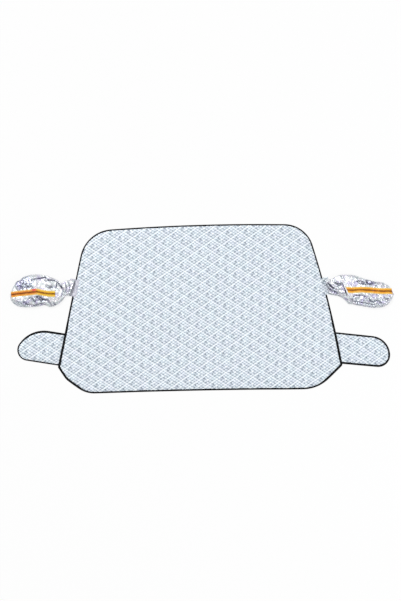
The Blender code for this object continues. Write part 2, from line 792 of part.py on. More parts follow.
def main():
    clear_scene()
    shade = new_collection("windshield_sun_shade")
    cutters = new_collection("cutters")
    root = bpy.data.objects.new("sun_shade_root", None)
    bpy.context.scene.collection.objects.link(root)
    materials = {
        "quilt": new_material("quilted_silver_film", (0.67, 0.74, 0.80), 0.38, 0.25),
        "tape": new_material("black_binding_tape", (0.006, 0.006, 0.007), 0.80),
        "webbing": new_material("silver_tab_cloth", (0.74, 0.76, 0.80), 0.55),
        "foil": new_material("crinkled_silver_foil", (0.80, 0.81, 0.86), 0.28, 0.6),
        "elastic": new_material("white_elastic", (0.75, 0.75, 0.76), 0.85),
        "reflector": new_material("orange_reflective_tape", (0.86, 0.38, 0.045), 0.40),
    }
    outline = panel_outline()
    left_tab = distance_at_height(outline, -1.0, TAB_LEFT_UP)
    right_tab = distance_at_height(outline, 1.0, TAB_RIGHT_UP)
    make_panel(outline, (left_tab, right_tab), materials["quilt"], shade, cutters, root)
    make_tab("left_mirror_tab", outline, left_tab, materials["webbing"], shade, root)
    make_tab("right_mirror_tab", outline, right_tab, materials["webbing"], shade, root)

    clear = TAB_WIDTH / 2.0 + SEWN_GAP
    upper_path = stretch(outline, left_tab + clear, right_tab - clear)
    upper = swept("upper_binding", upper_path, binding_section(BINDING_WING))
    add_part("upper_binding", upper, materials["tape"], shade, root)
    lower_path = stretch(outline, right_tab + clear, left_tab - clear)
    lower = swept("lower_binding", lower_path, binding_section(LOWER_BINDING_WING))
    lower_binding = add_part("lower_binding", lower, materials["tape"], shade, root)

    flaps = {
        "left_flap": Flap(
            -1.0,
            FLAP_LEFT_TILT,
            FLAP_LEFT_ABOVE_HIP,
            FLAP_LEFT_ROOT_WIDTH,
            FLAP_LEFT_TIP_WIDTH,
            FLAP_LEFT_UPPER_LENGTH,
            FLAP_LEFT_LOWER_LENGTH,
            FLAP_LEFT_UPPER_RADIUS,
            FLAP_LEFT_LOWER_RADIUS,
        ),
        "right_flap": Flap(
            1.0,
            FLAP_RIGHT_TILT,
            FLAP_RIGHT_ABOVE_HIP,
            FLAP_RIGHT_ROOT_WIDTH,
            FLAP_RIGHT_TIP_WIDTH,
            FLAP_RIGHT_UPPER_LENGTH,
            FLAP_RIGHT_LOWER_LENGTH,
            FLAP_RIGHT_UPPER_RADIUS,
            FLAP_RIGHT_LOWER_RADIUS,
        ),
    }
    for name, flap in flaps.items():
        own = make_flap(flap, name, outline, materials, shade, cutters, root)
        cut_flap_window(lower_binding, own, name, cutters, root)

    left_lean = math.atan2(HIP_LEFT_OUT - SHOULDER_LEFT_OUT, SHOULDER_LEFT_UP + HIP_LEFT_DOWN)
    right_lean = math.atan2(HIP_RIGHT_OUT - SHOULDER_RIGHT_OUT, SHOULDER_RIGHT_UP + HIP_RIGHT_DOWN)
    covers = {
        "left": Cover(
            -1.0,
            Vector((SEAM_LEFT_REACH, -SEAM_LEFT_DROP)),
            SEAM_LEFT_SLANT,
            Vector((POUCH_LEFT_REACH, -POUCH_LEFT_DROP)),
            POUCH_LEFT_TIP_SLANT,
            Edge(
                POUCH_LEFT_UPPER_WIDTH,
                POUCH_LEFT_UPPER_PEAK,
                POUCH_LEFT_UPPER_POWER,
                POUCH_LEFT_UPPER_ROOT,
            ),
            Edge(
                POUCH_LEFT_LOWER_WIDTH,
                POUCH_LEFT_LOWER_PEAK,
                POUCH_LEFT_LOWER_POWER,
                POUCH_LEFT_LOWER_ROOT,
            ),
            left_lean,
        ),
        "right": Cover(
            1.0,
            Vector((SEAM_RIGHT_REACH, -SEAM_RIGHT_DROP)),
            SEAM_RIGHT_SLANT,
            Vector((POUCH_RIGHT_REACH, -POUCH_RIGHT_DROP)),
            POUCH_RIGHT_TIP_SLANT,
            Edge(
                POUCH_RIGHT_UPPER_WIDTH,
                POUCH_RIGHT_UPPER_PEAK,
                POUCH_RIGHT_UPPER_POWER,
                POUCH_RIGHT_UPPER_ROOT,
            ),
            Edge(
                POUCH_RIGHT_LOWER_WIDTH,
                POUCH_RIGHT_LOWER_PEAK,
                POUCH_RIGHT_LOWER_POWER,
                POUCH_RIGHT_LOWER_ROOT,
            ),
            right_lean,
        ),
    }
    make_cover(covers["left"], "left", point_at(outline, left_tab), materials, shade, root)
    make_cover(covers["right"], "right", point_at(outline, right_tab), materials, shade, root)
    centre_on_floor(shade, root)


main()
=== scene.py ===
"""Looks of the windshield sun shade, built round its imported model.

The quilted cloth, bindings, tabs and mirror covers are remade as fine meshes on the outlines of
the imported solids, and every piece gets its cloth, film or tape as a procedural material.
+X is the right of the panel, +Y its top edge and +Z up from the floor. Sizes are in metres.
"""

import math
from collections import namedtuple

import bmesh
import bpy
import numpy as np
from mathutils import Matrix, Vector
from mathutils.bvhtree import BVHTree
from mathutils.geometry import delaunay_2d_cdt


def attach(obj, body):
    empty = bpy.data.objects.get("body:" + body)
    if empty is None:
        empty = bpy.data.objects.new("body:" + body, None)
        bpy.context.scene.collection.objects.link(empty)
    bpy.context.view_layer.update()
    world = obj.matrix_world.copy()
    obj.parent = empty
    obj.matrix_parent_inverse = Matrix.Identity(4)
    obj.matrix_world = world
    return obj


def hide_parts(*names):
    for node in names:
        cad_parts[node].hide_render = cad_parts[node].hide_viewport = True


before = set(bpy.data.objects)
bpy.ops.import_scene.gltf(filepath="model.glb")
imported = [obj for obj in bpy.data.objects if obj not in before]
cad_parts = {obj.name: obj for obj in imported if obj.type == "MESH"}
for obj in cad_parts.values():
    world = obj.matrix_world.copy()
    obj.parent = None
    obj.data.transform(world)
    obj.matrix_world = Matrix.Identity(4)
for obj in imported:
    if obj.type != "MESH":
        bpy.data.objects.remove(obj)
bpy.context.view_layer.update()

# What the photograph shows: the size of its frame and the place in the part's frame at its middle
PHOTO_WIDTH = 2.1253
PHOTO_HEIGHT = 3.1853
PHOTO_MIDDLE = Vector((-0.0074, 0.0437, 0.0))

# Heights of the sewn edge and its binding, as packed
EDGE_MIDDLE = 0.0020
EDGE_BOTTOM = 0.0012
EDGE_TOP = 0.0028
BINDING_TOP = 0.0040
BINDING_WALL = 0.0009
SEWN_GAP = 0.0003
BINDING_OUTSIDE = 0.0012
WELD = 0.00001
SPAN_STEP = 0.0010

# Quilting
QUILT_SEAM_HEIGHT = 0.0030
QUILT_CROWN = 0.0027
QUILT_POWER = 0.42
QUILT_EDGE_RISE = 0.011
QUILT_BACK_HOLLOW = 0.0009
TOP_STEPS = 12
BACK_STEPS = 5
OUTLINE_STEP = 0.006
CORNER_TURN = math.radians(35.0)

# Binding tape and its stitches
STITCH_PITCH = 0.0042
STITCH_LENGTH = 0.0030
STITCH_RADIUS = 0.00028
STITCH_INSET = 0.0019
TAPE_LIFT = 0.0003

TAB_WING = 0.0200
TAB_TONGUE = 0.0300


# Small helpers


def smooth_step(share):
    share = np.clip(share, 0.0, 1.0)
    return share * share * (3.0 - 2.0 * share)


def new_object(name, verts, faces, materials, smooth=True):
    """A mesh object in the scene, with its materials."""
    mesh = bpy.data.meshes.new(name)
    mesh.from_pydata([tuple(v) for v in verts], [], faces)
    for material in materials:
        mesh.materials.append(material)
    if smooth:
        mesh.shade_smooth()
    obj = bpy.data.objects.new(name, mesh)
    bpy.context.scene.collection.objects.link(obj)
    return obj


def keep(obj, slot, *nodes):
    """Rides on the part and stands for the named solids, which it hides. The slot is not used."""
    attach(obj, "root")
    if nodes:
        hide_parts(*nodes)
    return obj


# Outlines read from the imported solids


def merged(node):
    solid = bmesh.new()
    solid.from_mesh(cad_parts[node].data)
    bmesh.ops.remove_doubles(solid, verts=solid.verts, dist=WELD)
    return solid


def section_loop(node, height):
    """The longest closed line in which a solid crosses a height, clockwise from above."""
    solid = merged(node)
    geometry = solid.verts[:] + solid.edges[:] + solid.faces[:]
    cut = bmesh.ops.bisect_plane(
        solid, geom=geometry, plane_co=(0.0, 0.0, height), plane_no=(0.0, 0.0, 1.0)
    )["geom_cut"]
    beside = {}
    for edge in cut:
        if isinstance(edge, bmesh.types.BMEdge):
            for vertex, other in (edge.verts, reversed(edge.verts)):
                beside.setdefault(vertex, []).append(other)
    loops = []
    unused = set(beside)
    while unused:
        loop = [unused.pop()]
        while True:
            following = [v for v in beside[loop[-1]] if v in unused]
            if not following:
                break
            loop.append(following[0])
            unused.discard(following[0])
        loops.append(np.array([(v.co.x, v.co.y) for v in loop]))
    solid.free()
    longest = max(loops, key=lambda loop: np.linalg.norm(np.roll(loop, -1, 0) - loop, axis=1).sum())
    return clockwise(without_straight_points(longest))


def clockwise(loop):
    ahead = np.roll(loop, -1, 0)
    area = (loop[:, 0] * ahead[:, 1] - ahead[:, 0] * loop[:, 1]).sum()
    return loop[::-1] if area > 0.0 else loop


def without_straight_points(loop, slack=0.00003):
    """The loop without the points that lie on a straight line between their neighbours."""
    kept = []
    for index in range(len(loop)):
        back = kept[-1] if kept else loop[index - 1]
        ahead = loop[(index + 1) % len(loop)]
        chord = ahead - back
        away = loop[index] - back
        length = np.hypot(*chord)
        if length < WELD or abs(chord[0] * away[1] - chord[1] * away[0]) / length > slack:
            kept.append(loop[index])
    return np.array(kept)


def smooth_outline(loop, step=OUTLINE_STEP):
    """The closed loop through the same points, curved between them except at sharp corners."""
    ahead = np.roll(loop, -1, 0) - loop
    lengths = np.hypot(ahead[:, 0], ahead[:, 1])
    units = ahead / lengths[:, None]
    fine = []
    count = len(loop)
    for index in range(count):
        before = units[index - 1]
        here = units[index]
        after = units[(index + 1) % count]
        leaving = tangent(before, here, lengths[index - 1], lengths[index], here)
        arriving = tangent(here, after, lengths[index], lengths[(index + 1) % count], here)
        steps = max(1, math.ceil(lengths[index] / step))
        start = loop[index]
        end = loop[(index + 1) % count]
        for number in range(steps):
            t = number / steps
            blend = (
                (2 * t**3 - 3 * t**2 + 1) * start
                + (t**3 - 2 * t**2 + t) * lengths[index] * leaving
                + (3 * t**2 - 2 * t**3) * end
                + (t**3 - t**2) * lengths[index] * arriving
            )
            fine.append(blend)
    return np.array(fine)


def tangent(before, after, length_before, length_after, own):
    """The direction of the curve at a point, or of its own edge where the corner is sharp."""
    if before @ after < math.cos(CORNER_TURN):
        return own
    mixed = before * length_before + after * length_after
    return mixed / np.hypot(*mixed)


def edge_distance(points, outline):
    """Each point's distance from the closed outline, less than nought outside it."""
    nearest = np.full(len(points), np.inf)
    inside = np.zeros(len(points), bool)
    x = points[:, 0]
    y = points[:, 1]
    for start, end in zip(outline, np.roll(outline, -1, 0)):
        along = end - start
        share = ((x - start[0]) * along[0] + (y - start[1]) * along[1]) / (along @ along)
        share = np.clip(share, 0.0, 1.0)
        gap = np.hypot(x - start[0] - share * along[0], y - start[1] - share * along[1])
        nearest = np.minimum(nearest, gap)
        if start[1] != end[1]:
            crosses = (start[1] > y) != (end[1] > y)
            inside ^= crosses & (x < start[0] + (y - start[1]) * along[0] / along[1])
    return np.where(inside, nearest, -nearest)


def distances_along(outline):
    """How far along the closed outline each of its points lies, and its whole length."""
    steps = np.roll(outline, -1, 0) - outline
    lengths = np.hypot(steps[:, 0], steps[:, 1])
    return np.concatenate([[0.0], np.cumsum(lengths)[:-1]]), lengths.sum()


def span_of(outline, node):
    """Where along the outline a solid that follows it starts and ends."""
    solid = merged(node)
    tree = BVHTree.FromBMesh(solid)
    solid.free()
    places, total = distances_along(outline)
    closed = np.concatenate([outline, outline[:1]])
    along = np.append(places, total)
    covered = []
    for number in range(int(total / SPAN_STEP)):
        wanted = number * SPAN_STEP
        x, y = (np.interp(wanted, along, closed[:, axis]) for axis in (0, 1))
        if tree.find_nearest(Vector((x, y, EDGE_MIDDLE)), 2.0 * BINDING_OUTSIDE)[0] is not None:
            covered.append(wanted)
    covered = np.array(covered)
    gaps = np.roll(covered, -1) - covered
    gaps[-1] += total
    last = gaps.argmax()
    return covered[(last + 1) % len(covered)], covered[last]


def stretch(outline, start, end):
    """The points of the closed outline from one distance along it to another."""
    places, total = distances_along(outline)
    if end < start:
        end += total
    places = np.concatenate([places, places + total, [2.0 * total]])
    points = np.concatenate([outline, outline, outline[:1]])
    inner = places[(places > start + 0.001) & (places < end - 0.001)]
    wanted = np.concatenate([[start], inner, [end]])
    return np.column_stack([np.interp(wanted, places, points[:, axis]) for axis in (0, 1)])


# Quilting lattice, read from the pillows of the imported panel


Lattice = namedtuple("Lattice", "crossing rise fall")


def quilt_lattice(node):
    """A crossing of the quilting's seams and the two steps from it to the next ones."""
    solid = merged(node)
    bmesh.ops.dissolve_limit(
        solid, angle_limit=math.radians(0.5), verts=solid.verts, edges=solid.edges
    )
    top = max(vertex.co.z for vertex in solid.verts)
    tops = [face for face in solid.faces if face.calc_center_median().z > top - WELD]
    largest = sorted(face.calc_area() for face in tops)[len(tops) * 3 // 4]
    whole = [face for face in tops if abs(face.calc_area() / largest - 1.0) < 0.01]
    centres = np.array([face.calc_center_median()[:2] for face in whole])
    solid.free()
    middle = centres[np.hypot(centres[:, 0], centres[:, 1]).argmin()]
    away = centres - middle
    reach = np.hypot(away[:, 0], away[:, 1])
    rise = away[np.where((away[:, 0] > WELD) & (away[:, 1] > 0.01), reach, np.inf).argmin()]
    fall = away[np.where((away[:, 0] > WELD) & (away[:, 1] < -0.01), reach, np.inf).argmin()]
    return Lattice(middle - (rise + fall) / 2.0, rise, fall)


def lattice_shares(points, lattice):
    """Each point's place in steps across and along the quilting's seams."""
    basis = np.column_stack([lattice.fall, lattice.rise])
    return (points - lattice.crossing) @ np.linalg.inv(basis).T


def lattice_points(outline, lattice, steps, margin):
    """Points on an even division of the quilting that lie well inside the outline."""
    corners = lattice_shares(outline, lattice)
    low = np.floor(corners.min(0)) * steps
    high = np.ceil(corners.max(0)) * steps
    across, along = np.meshgrid(np.arange(low[0], high[0] + 1), np.arange(low[1], high[1] + 1))
    shares = np.column_stack([across.ravel(), along.ravel()]) / steps
    points = lattice.crossing + shares @ np.vstack([lattice.fall, lattice.rise])
    inside = (points > outline.min(0)).all(1) & (points < outline.max(0)).all(1)
    points = points[inside]
    return points[edge_distance(points, outline) > margin]


def triangulated(outline, inner):
    """Points and triangles that fill the outline, and where the outline's own points went."""
    every = [Vector(point) for point in np.concatenate([outline, inner])]
    border = list(range(len(outline)))
    points, _, faces, origins, _, _ = delaunay_2d_cdt(every, [], [border], 1, 1e-7)
    place = {}
    for index, came_from in enumerate(origins):
        for source in came_from:
            if source < len(outline):
                place[source] = index
    return np.array([point[:] for point in points]), faces, [place[index] for index in border]


def pillow(points, lattice):
    """0 on the quilting's seams and 1 on the crown of each pillow."""
    shares = lattice_shares(points, lattice)
    return np.abs(np.sin(np.pi * shares[:, 0]) * np.sin(np.pi * shares[:, 1])) ** QUILT_POWER


def quilted_piece(name, node, lattice, wing, covered, materials):
    """A padded cloth on a solid's outline: a quilted film on top and a plain lining below."""
    outline = smooth_outline(section_loop(node, EDGE_MIDDLE))
    fine = lattice_points(outline, lattice, TOP_STEPS, OUTLINE_STEP / 2.0)
    coarse = lattice_points(outline, lattice, BACK_STEPS, OUTLINE_STEP)
    top, top_faces, top_border = triangulated(outline, fine)
    back, back_faces, back_border = triangulated(outline, coarse)
    edge = edge_distance(top, outline)
    for ground in covered:
        edge = np.minimum(edge, wing - edge_distance(top, ground))
    rise = smooth_step((edge - wing) / QUILT_EDGE_RISE)
    field = QUILT_SEAM_HEIGHT + QUILT_CROWN * pillow(top, lattice)
    height = EDGE_TOP + (field - EDGE_TOP) * rise
    back_rise = smooth_step((edge_distance(back, outline) - wing) / QUILT_EDGE_RISE)
    hollow = QUILT_BACK_HOLLOW * (1.0 - pillow(back, lattice))
    back_height = EDGE_BOTTOM * (1.0 - back_rise) + hollow * back_rise
    verts = np.concatenate(
        [np.column_stack([top, height]), np.column_stack([back, back_height])]
    )
    shift = len(top)
    faces = [tuple(face) for face in top_faces]
    faces += [tuple(index + shift for index in reversed(face)) for face in back_faces]
    count = len(outline)
    for index in range(count):
        following = (index + 1) % count
        faces.append(
            (
                top_border[following],
                top_border[index],
                back_border[index] + shift,
                back_border[following] + shift,
            )
        )
    obj = new_object(name, verts, faces, materials)
    slots = np.zeros(len(obj.data.polygons), np.int32)
    slots[len(top_faces):] = 1
    obj.data.polygons.foreach_set("material_index", slots)
    face_out(obj.data)
    return obj, outline


def face_out(mesh):
    """Turns the faces of a closed mesh so that they point out."""
    solid = bmesh.new()
    solid.from_mesh(mesh)
    bmesh.ops.recalc_face_normals(solid, faces=solid.faces)
    if solid.calc_volume(signed=True) < 0.0:
        bmesh.ops.reverse_faces(solid, faces=solid.faces)
    solid.to_mesh(mesh)
    solid.free()


# Folded tapes and tabs, swept along the outlines


def outward_normals(path):
    """The mitred outward direction at each point of an open path that runs clockwise."""
    steps = np.diff(path, axis=0)
    units = steps / np.hypot(steps[:, 0], steps[:, 1])[:, None]
    normals = np.column_stack([-units[:, 1], units[:, 0]])
    before = np.concatenate([normals[:1], normals])
    after = np.concatenate([normals, normals[-1:]])
    return (before + after) / (1.0 + (before * after).sum(1))[:, None]


def no_swell(point):
    """Extra width of a tape that keeps its width."""
    return 0.0


def lower_swell(point):
    """The lower tape is folded wider beside the flaps than along the bottom."""
    beside = smooth_step((abs(point[0]) - 0.60) / 0.08) * smooth_step((-0.02 - point[1]) / 0.10)
    return 0.0030 * beside - 0.0006


def left_flap_swell(point):
    """The left flap's tape is folded wider along its upper edge."""
    return 0.0040 * smooth_step((point[1] + 0.18) / 0.06) - 0.0016


def right_flap_swell(point):
    """The right flap's tape is folded wider along its lower edge."""
    return 0.0016 * smooth_step((-0.20 - point[1]) / 0.06)


def swept(name, path, section, material, waver=0.0, swell=no_swell):
    """A closed section, as places out and up, carried along an open flat path."""
    normals = outward_normals(path)
    steps = np.hypot(*np.diff(path, axis=0).T)
    along = np.concatenate([[0.0], np.cumsum(steps)])
    ripple = waver * (np.sin(along * 71.0) + np.sin(along * 173.0 + 1.3) + np.sin(along * 37.0))
    verts = []
    for point, normal, shift in zip(path, normals, ripple):
        for out, up in section:
            place = point + normal * (out + (shift - swell(point) if out < -BINDING_WALL else 0.0))
            verts.append((place[0], place[1], up))
    ring = len(section)
    faces = []
    for row in range(len(path) - 1):
        for index in range(ring):
            following = (index + 1) % ring
            a = row * ring
            faces.append((a + index, a + following, a + ring + following, a + ring + index))
    faces.append(tuple(range(ring)))
    last = (len(path) - 1) * ring
    faces.append(tuple(last + index for index in reversed(range(ring))))
    obj = new_object(name, verts, faces, [material])
    face_out(obj.data)
    obj.data.set_sharp_from_angle(angle=math.radians(50.0))
    return obj


def arc(centre_out, centre_up, radius, start, end, steps=4):
    """Points of a section's rounded corner, with its angles in degrees."""
    angles = [math.radians(start + (end - start) * step / steps) for step in range(steps + 1)]
    return [
        (centre_out + radius * math.cos(angle), centre_up + radius * math.sin(angle))
        for angle in angles
    ]


def folded_section(wing, tongue=0.0):
    """The rounded channel of a tape or tab folded over the cloth's edge."""
    round_off = 0.0014
    lip = BINDING_WALL / 2.2
    top = BINDING_TOP
    low = TAPE_LIFT
    section = [(-wing, low)]
    if tongue:
        section += [(tongue, low), (tongue, BINDING_WALL), (BINDING_OUTSIDE, BINDING_WALL)]
    else:
        section += arc(BINDING_OUTSIDE - round_off, low + round_off, round_off, -90.0, 0.0)
    section += arc(BINDING_OUTSIDE - round_off, top - round_off, round_off, 0.0, 90.0)
    section += [(-wing * 0.5, top + 0.0002), (-wing + lip, top)]
    section += arc(-wing + lip, top - lip, lip, 100.0, 170.0, 3)
    section += [(-wing + lip * 0.4, top - BINDING_WALL)]
    section += [(SEWN_GAP, top - BINDING_WALL), (SEWN_GAP, BINDING_WALL), (-wing, BINDING_WALL)]
    return section


def stitches(name, path, inset, height, material):
    """A row of thread stitches that follows a path at an inset, half sunk in the tape."""
    normals = outward_normals(path)
    line = path - normals * inset
    steps = np.hypot(*np.diff(line, axis=0).T)
    along = np.concatenate([[0.0], np.cumsum(steps)])
    count = int(along[-1] / STITCH_PITCH)
    verts = []
    faces = []
    sides = 5
    rings = ((-0.5, 0.35), (-0.3, 1.0), (0.3, 1.0), (0.5, 0.35))
    for number in range(count):
        middle = (number + 0.5) * STITCH_PITCH
        ends = [
            np.array([np.interp(middle + share * STITCH_LENGTH, along, line[:, a]) for a in (0, 1)])
            for share in (-0.5, 0.5)
        ]
        run = ends[1] - ends[0]
        side = np.array([-run[1], run[0]]) / max(np.hypot(*run), WELD)
        base = len(verts)
        for share, swell in rings:
            centre = ends[0] + run * (share + 0.5)
            for corner in range(sides):
                angle = 2.0 * math.pi * corner / sides
                place = centre + side * math.cos(angle) * STITCH_RADIUS * swell
                lift = math.sin(angle) * STITCH_RADIUS * swell - abs(share) * STITCH_RADIUS
                verts.append((place[0], place[1], height + lift))
        for ring in range(len(rings) - 1):
            for corner in range(sides):
                following = (corner + 1) % sides
                a = base + ring * sides
                faces.append((a + corner, a + following, a + sides + following, a + sides + corner))
        faces.append(tuple(base + corner for corner in reversed(range(sides))))
        faces.append(tuple(base + (len(rings) - 1) * sides + corner for corner in range(sides)))
    obj = new_object(name, verts, faces, [material])
    face_out(obj.data)
    return obj


# Mirror covers


Cover = namedtuple("Cover", "side start neck seam seam_slant tip tip_slant edge_slant")


def cover_ring(cover, share):
    """Centre and slant of a ring at a share of the pouch's length, or of the cuff's below nought."""
    if share >= 0.0:
        centre = cover.seam + (cover.tip - cover.seam) * share
        slant = cover.tip_slant * smooth_step(share / 0.6)
        return centre, slant + cover.seam_slant * (1.0 - smooth_step(share / 0.6))
    back = 1.0 + share
    centre = cover.neck + (cover.seam - cover.neck) * back
    return centre, cover.edge_slant + (cover.seam_slant - cover.edge_slant) * back


def lofted(node, cover, shares, around, tip):
    """A solid's outer wall as rings of points, found by looking in at it from all round."""
    solid = merged(node)
    tree = BVHTree.FromBMesh(solid)
    solid.free()
    rings = []
    for share in shares:
        centre, slant = cover_ring(cover, share)
        across = Vector((-cover.side * math.sin(slant), math.cos(slant), 0.0))
        height = 0.42 * ring_height(tree, centre)
        middle = Vector((centre.x, centre.y, height))
        ring = []
        for step in range(around):
            angle = 2.0 * math.pi * step / around
            toward = across * math.cos(angle) + Vector((0.0, 0.0, math.sin(angle)))
            hit = tree.ray_cast(middle + toward * 0.3, -toward)[0]
            ring.append(hit if hit is not None else middle)
        rings.append(ring)
    pole = None
    if tip:
        out = (cover.tip - cover.seam).normalized()
        level = Vector((0.0, 0.0, 0.012))
        pole = tree.ray_cast(cover.tip + out * 0.1 + level, -out)[0]
    return rings, pole


def ring_height(tree, centre):
    hit = tree.ray_cast(Vector((centre.x, centre.y, 0.3)), Vector((0.0, 0.0, -1.0)))[0]
    return hit.z if hit is not None else 0.012


def skin(name, rings, pole, materials):
    """A smooth surface through rings of points, closed at its pole if it has one."""
    around = len(rings[0])
    verts = [point for ring in rings for point in ring]
    faces = []
    for row in range(len(rings) - 1):
        for step in range(around):
            following = (step + 1) % around
            a = row * around
            faces.append((a + step, a + following, a + around + following, a + around + step))
    if pole is not None:
        last = (len(rings) - 1) * around
        verts.append(pole)
        for step in range(around):
            faces.append((last + step, last + (step + 1) % around, len(verts) - 1))
    obj = new_object(name, verts, faces, materials)
    solid = bmesh.new()
    solid.from_mesh(obj.data)
    bmesh.ops.recalc_face_normals(solid, faces=solid.faces)
    highest = max(solid.faces, key=lambda face: face.calc_center_median().z)
    if highest.normal.z < 0.0:
        bmesh.ops.reverse_faces(solid, faces=solid.faces)
    solid.to_mesh(obj.data)
    solid.free()
    return obj


# Materials


class Graph:
    """A material's node tree, with short calls for the nodes that the materials share."""

    def __init__(self, name, roughness, metallic=0.0):
        self.material = bpy.data.materials.new(name)
        self.material.use_nodes = True
        self.tree = self.material.node_tree
        self.shader = self.tree.nodes["Principled BSDF"]
        self.shader.inputs["Roughness"].default_value = roughness
        self.shader.inputs["Metallic"].default_value = metallic
        self.place = self.tree.nodes.new("ShaderNodeTexCoord").outputs["Object"]

    def node(self, kind, *links, **settings):
        made = self.tree.nodes.new("ShaderNode" + kind)
        for key, value in settings.items():
            setattr(made, key, value)
        for index, value in enumerate(links):
            self.feed(made.inputs[index], value)
        return made

    def feed(self, socket, value):
        if isinstance(value, bpy.types.NodeSocket):
            self.tree.links.new(value, socket)
        elif value is not None:
            socket.default_value = value

    def math(self, operation, *values, clamp=False):
        made = self.node("Math", *values, operation=operation, use_clamp=clamp)
        return made.outputs[0]

    def dot(self, vector, direction):
        made = self.node("VectorMath", vector, direction, operation="DOT_PRODUCT")
        return made.outputs["Value"]

    def noise(self, scale, detail=3.0, roughness=0.5, vector=None, distortion=0.0):
        made = self.node("TexNoise", vector or self.place)
        made.inputs["Scale"].default_value = scale
        made.inputs["Detail"].default_value = detail
        made.inputs["Roughness"].default_value = roughness
        made.inputs["Distortion"].default_value = distortion
        return made.outputs["Fac"]

    def cells(self, scale, feature="F1", vector=None, randomness=1.0):
        made = self.node("TexVoronoi", vector or self.place, feature=feature)
        made.inputs["Scale"].default_value = scale
        made.inputs["Randomness"].default_value = randomness
        return made.outputs["Distance"]

    def steps(self, value, *stops):
        """A ramp from a value to colours, given as places and colours."""
        made = self.node("ValToRGB", value)
        ramp = made.color_ramp
        while len(ramp.elements) < len(stops):
            ramp.elements.new(1.0)
        for element, (place, colour) in zip(ramp.elements, stops):
            element.position = place
            element.color = (*colour, 1.0)
        return made.outputs["Color"]

    def band(self, share, centre, width):
        """1 on a line at a share of the repeat and 0 further from it than the width."""
        away = self.math("SUBTRACT", share, centre - 0.5)
        away = self.math("FRACT", away)
        away = self.math("ABSOLUTE", self.math("SUBTRACT", away, 0.5))
        fade = self.node("MapRange", away, interpolation_type="SMOOTHSTEP")
        fade.inputs["From Max"].default_value = width
        fade.inputs["To Min"].default_value = 1.0
        fade.inputs["To Max"].default_value = 0.0
        return fade.outputs["Result"]

    def mix(self, share, first, second, blend="MIX"):
        made = self.node("Mix", data_type="RGBA", blend_type=blend)
        self.feed(made.inputs["Factor"], share)
        self.feed(made.inputs["A"], first if isinstance(first, bpy.types.NodeSocket) else (*first, 1.0))
        second_value = second if isinstance(second, bpy.types.NodeSocket) else (*second, 1.0)
        self.feed(made.inputs["B"], second_value)
        return made.outputs["Result"]

    def colour(self, value):
        self.feed(self.shader.inputs["Base Color"], value)

    def bump(self, height, distance, strength=1.0):
        made = self.node("Bump")
        made.inputs["Strength"].default_value = strength
        made.inputs["Distance"].default_value = distance
        self.feed(made.inputs["Height"], height)
        previous = self.shader.inputs["Normal"].links
        if previous:
            self.feed(made.inputs["Normal"], previous[0].from_socket)
        self.feed(self.shader.inputs["Normal"], made.outputs["Normal"])


PILLOW_SHADING_STRENGTH = 1.50
BEADS_ACROSS = 4.0

# Spots of painted shade and highlight in each diamond, for the light on its pillow, which also feed the film's bump:
# how far along the falling and rising seams, radius and tone

PILLOW_LIGHT_AND_SHADE = [
    (0.22, 0.45, 0.0085, -0.50),
    (0.28, 0.24, 0.0085, -0.38),
    (0.18, 0.68, 0.0065, -0.20),
    (0.54, 0.46, 0.0090, 0.30),
    (0.72, 0.42, 0.0070, -0.20),
    (0.62, 0.18, 0.0090, -0.14),
    (0.80, 0.70, 0.0070, -0.18),
]


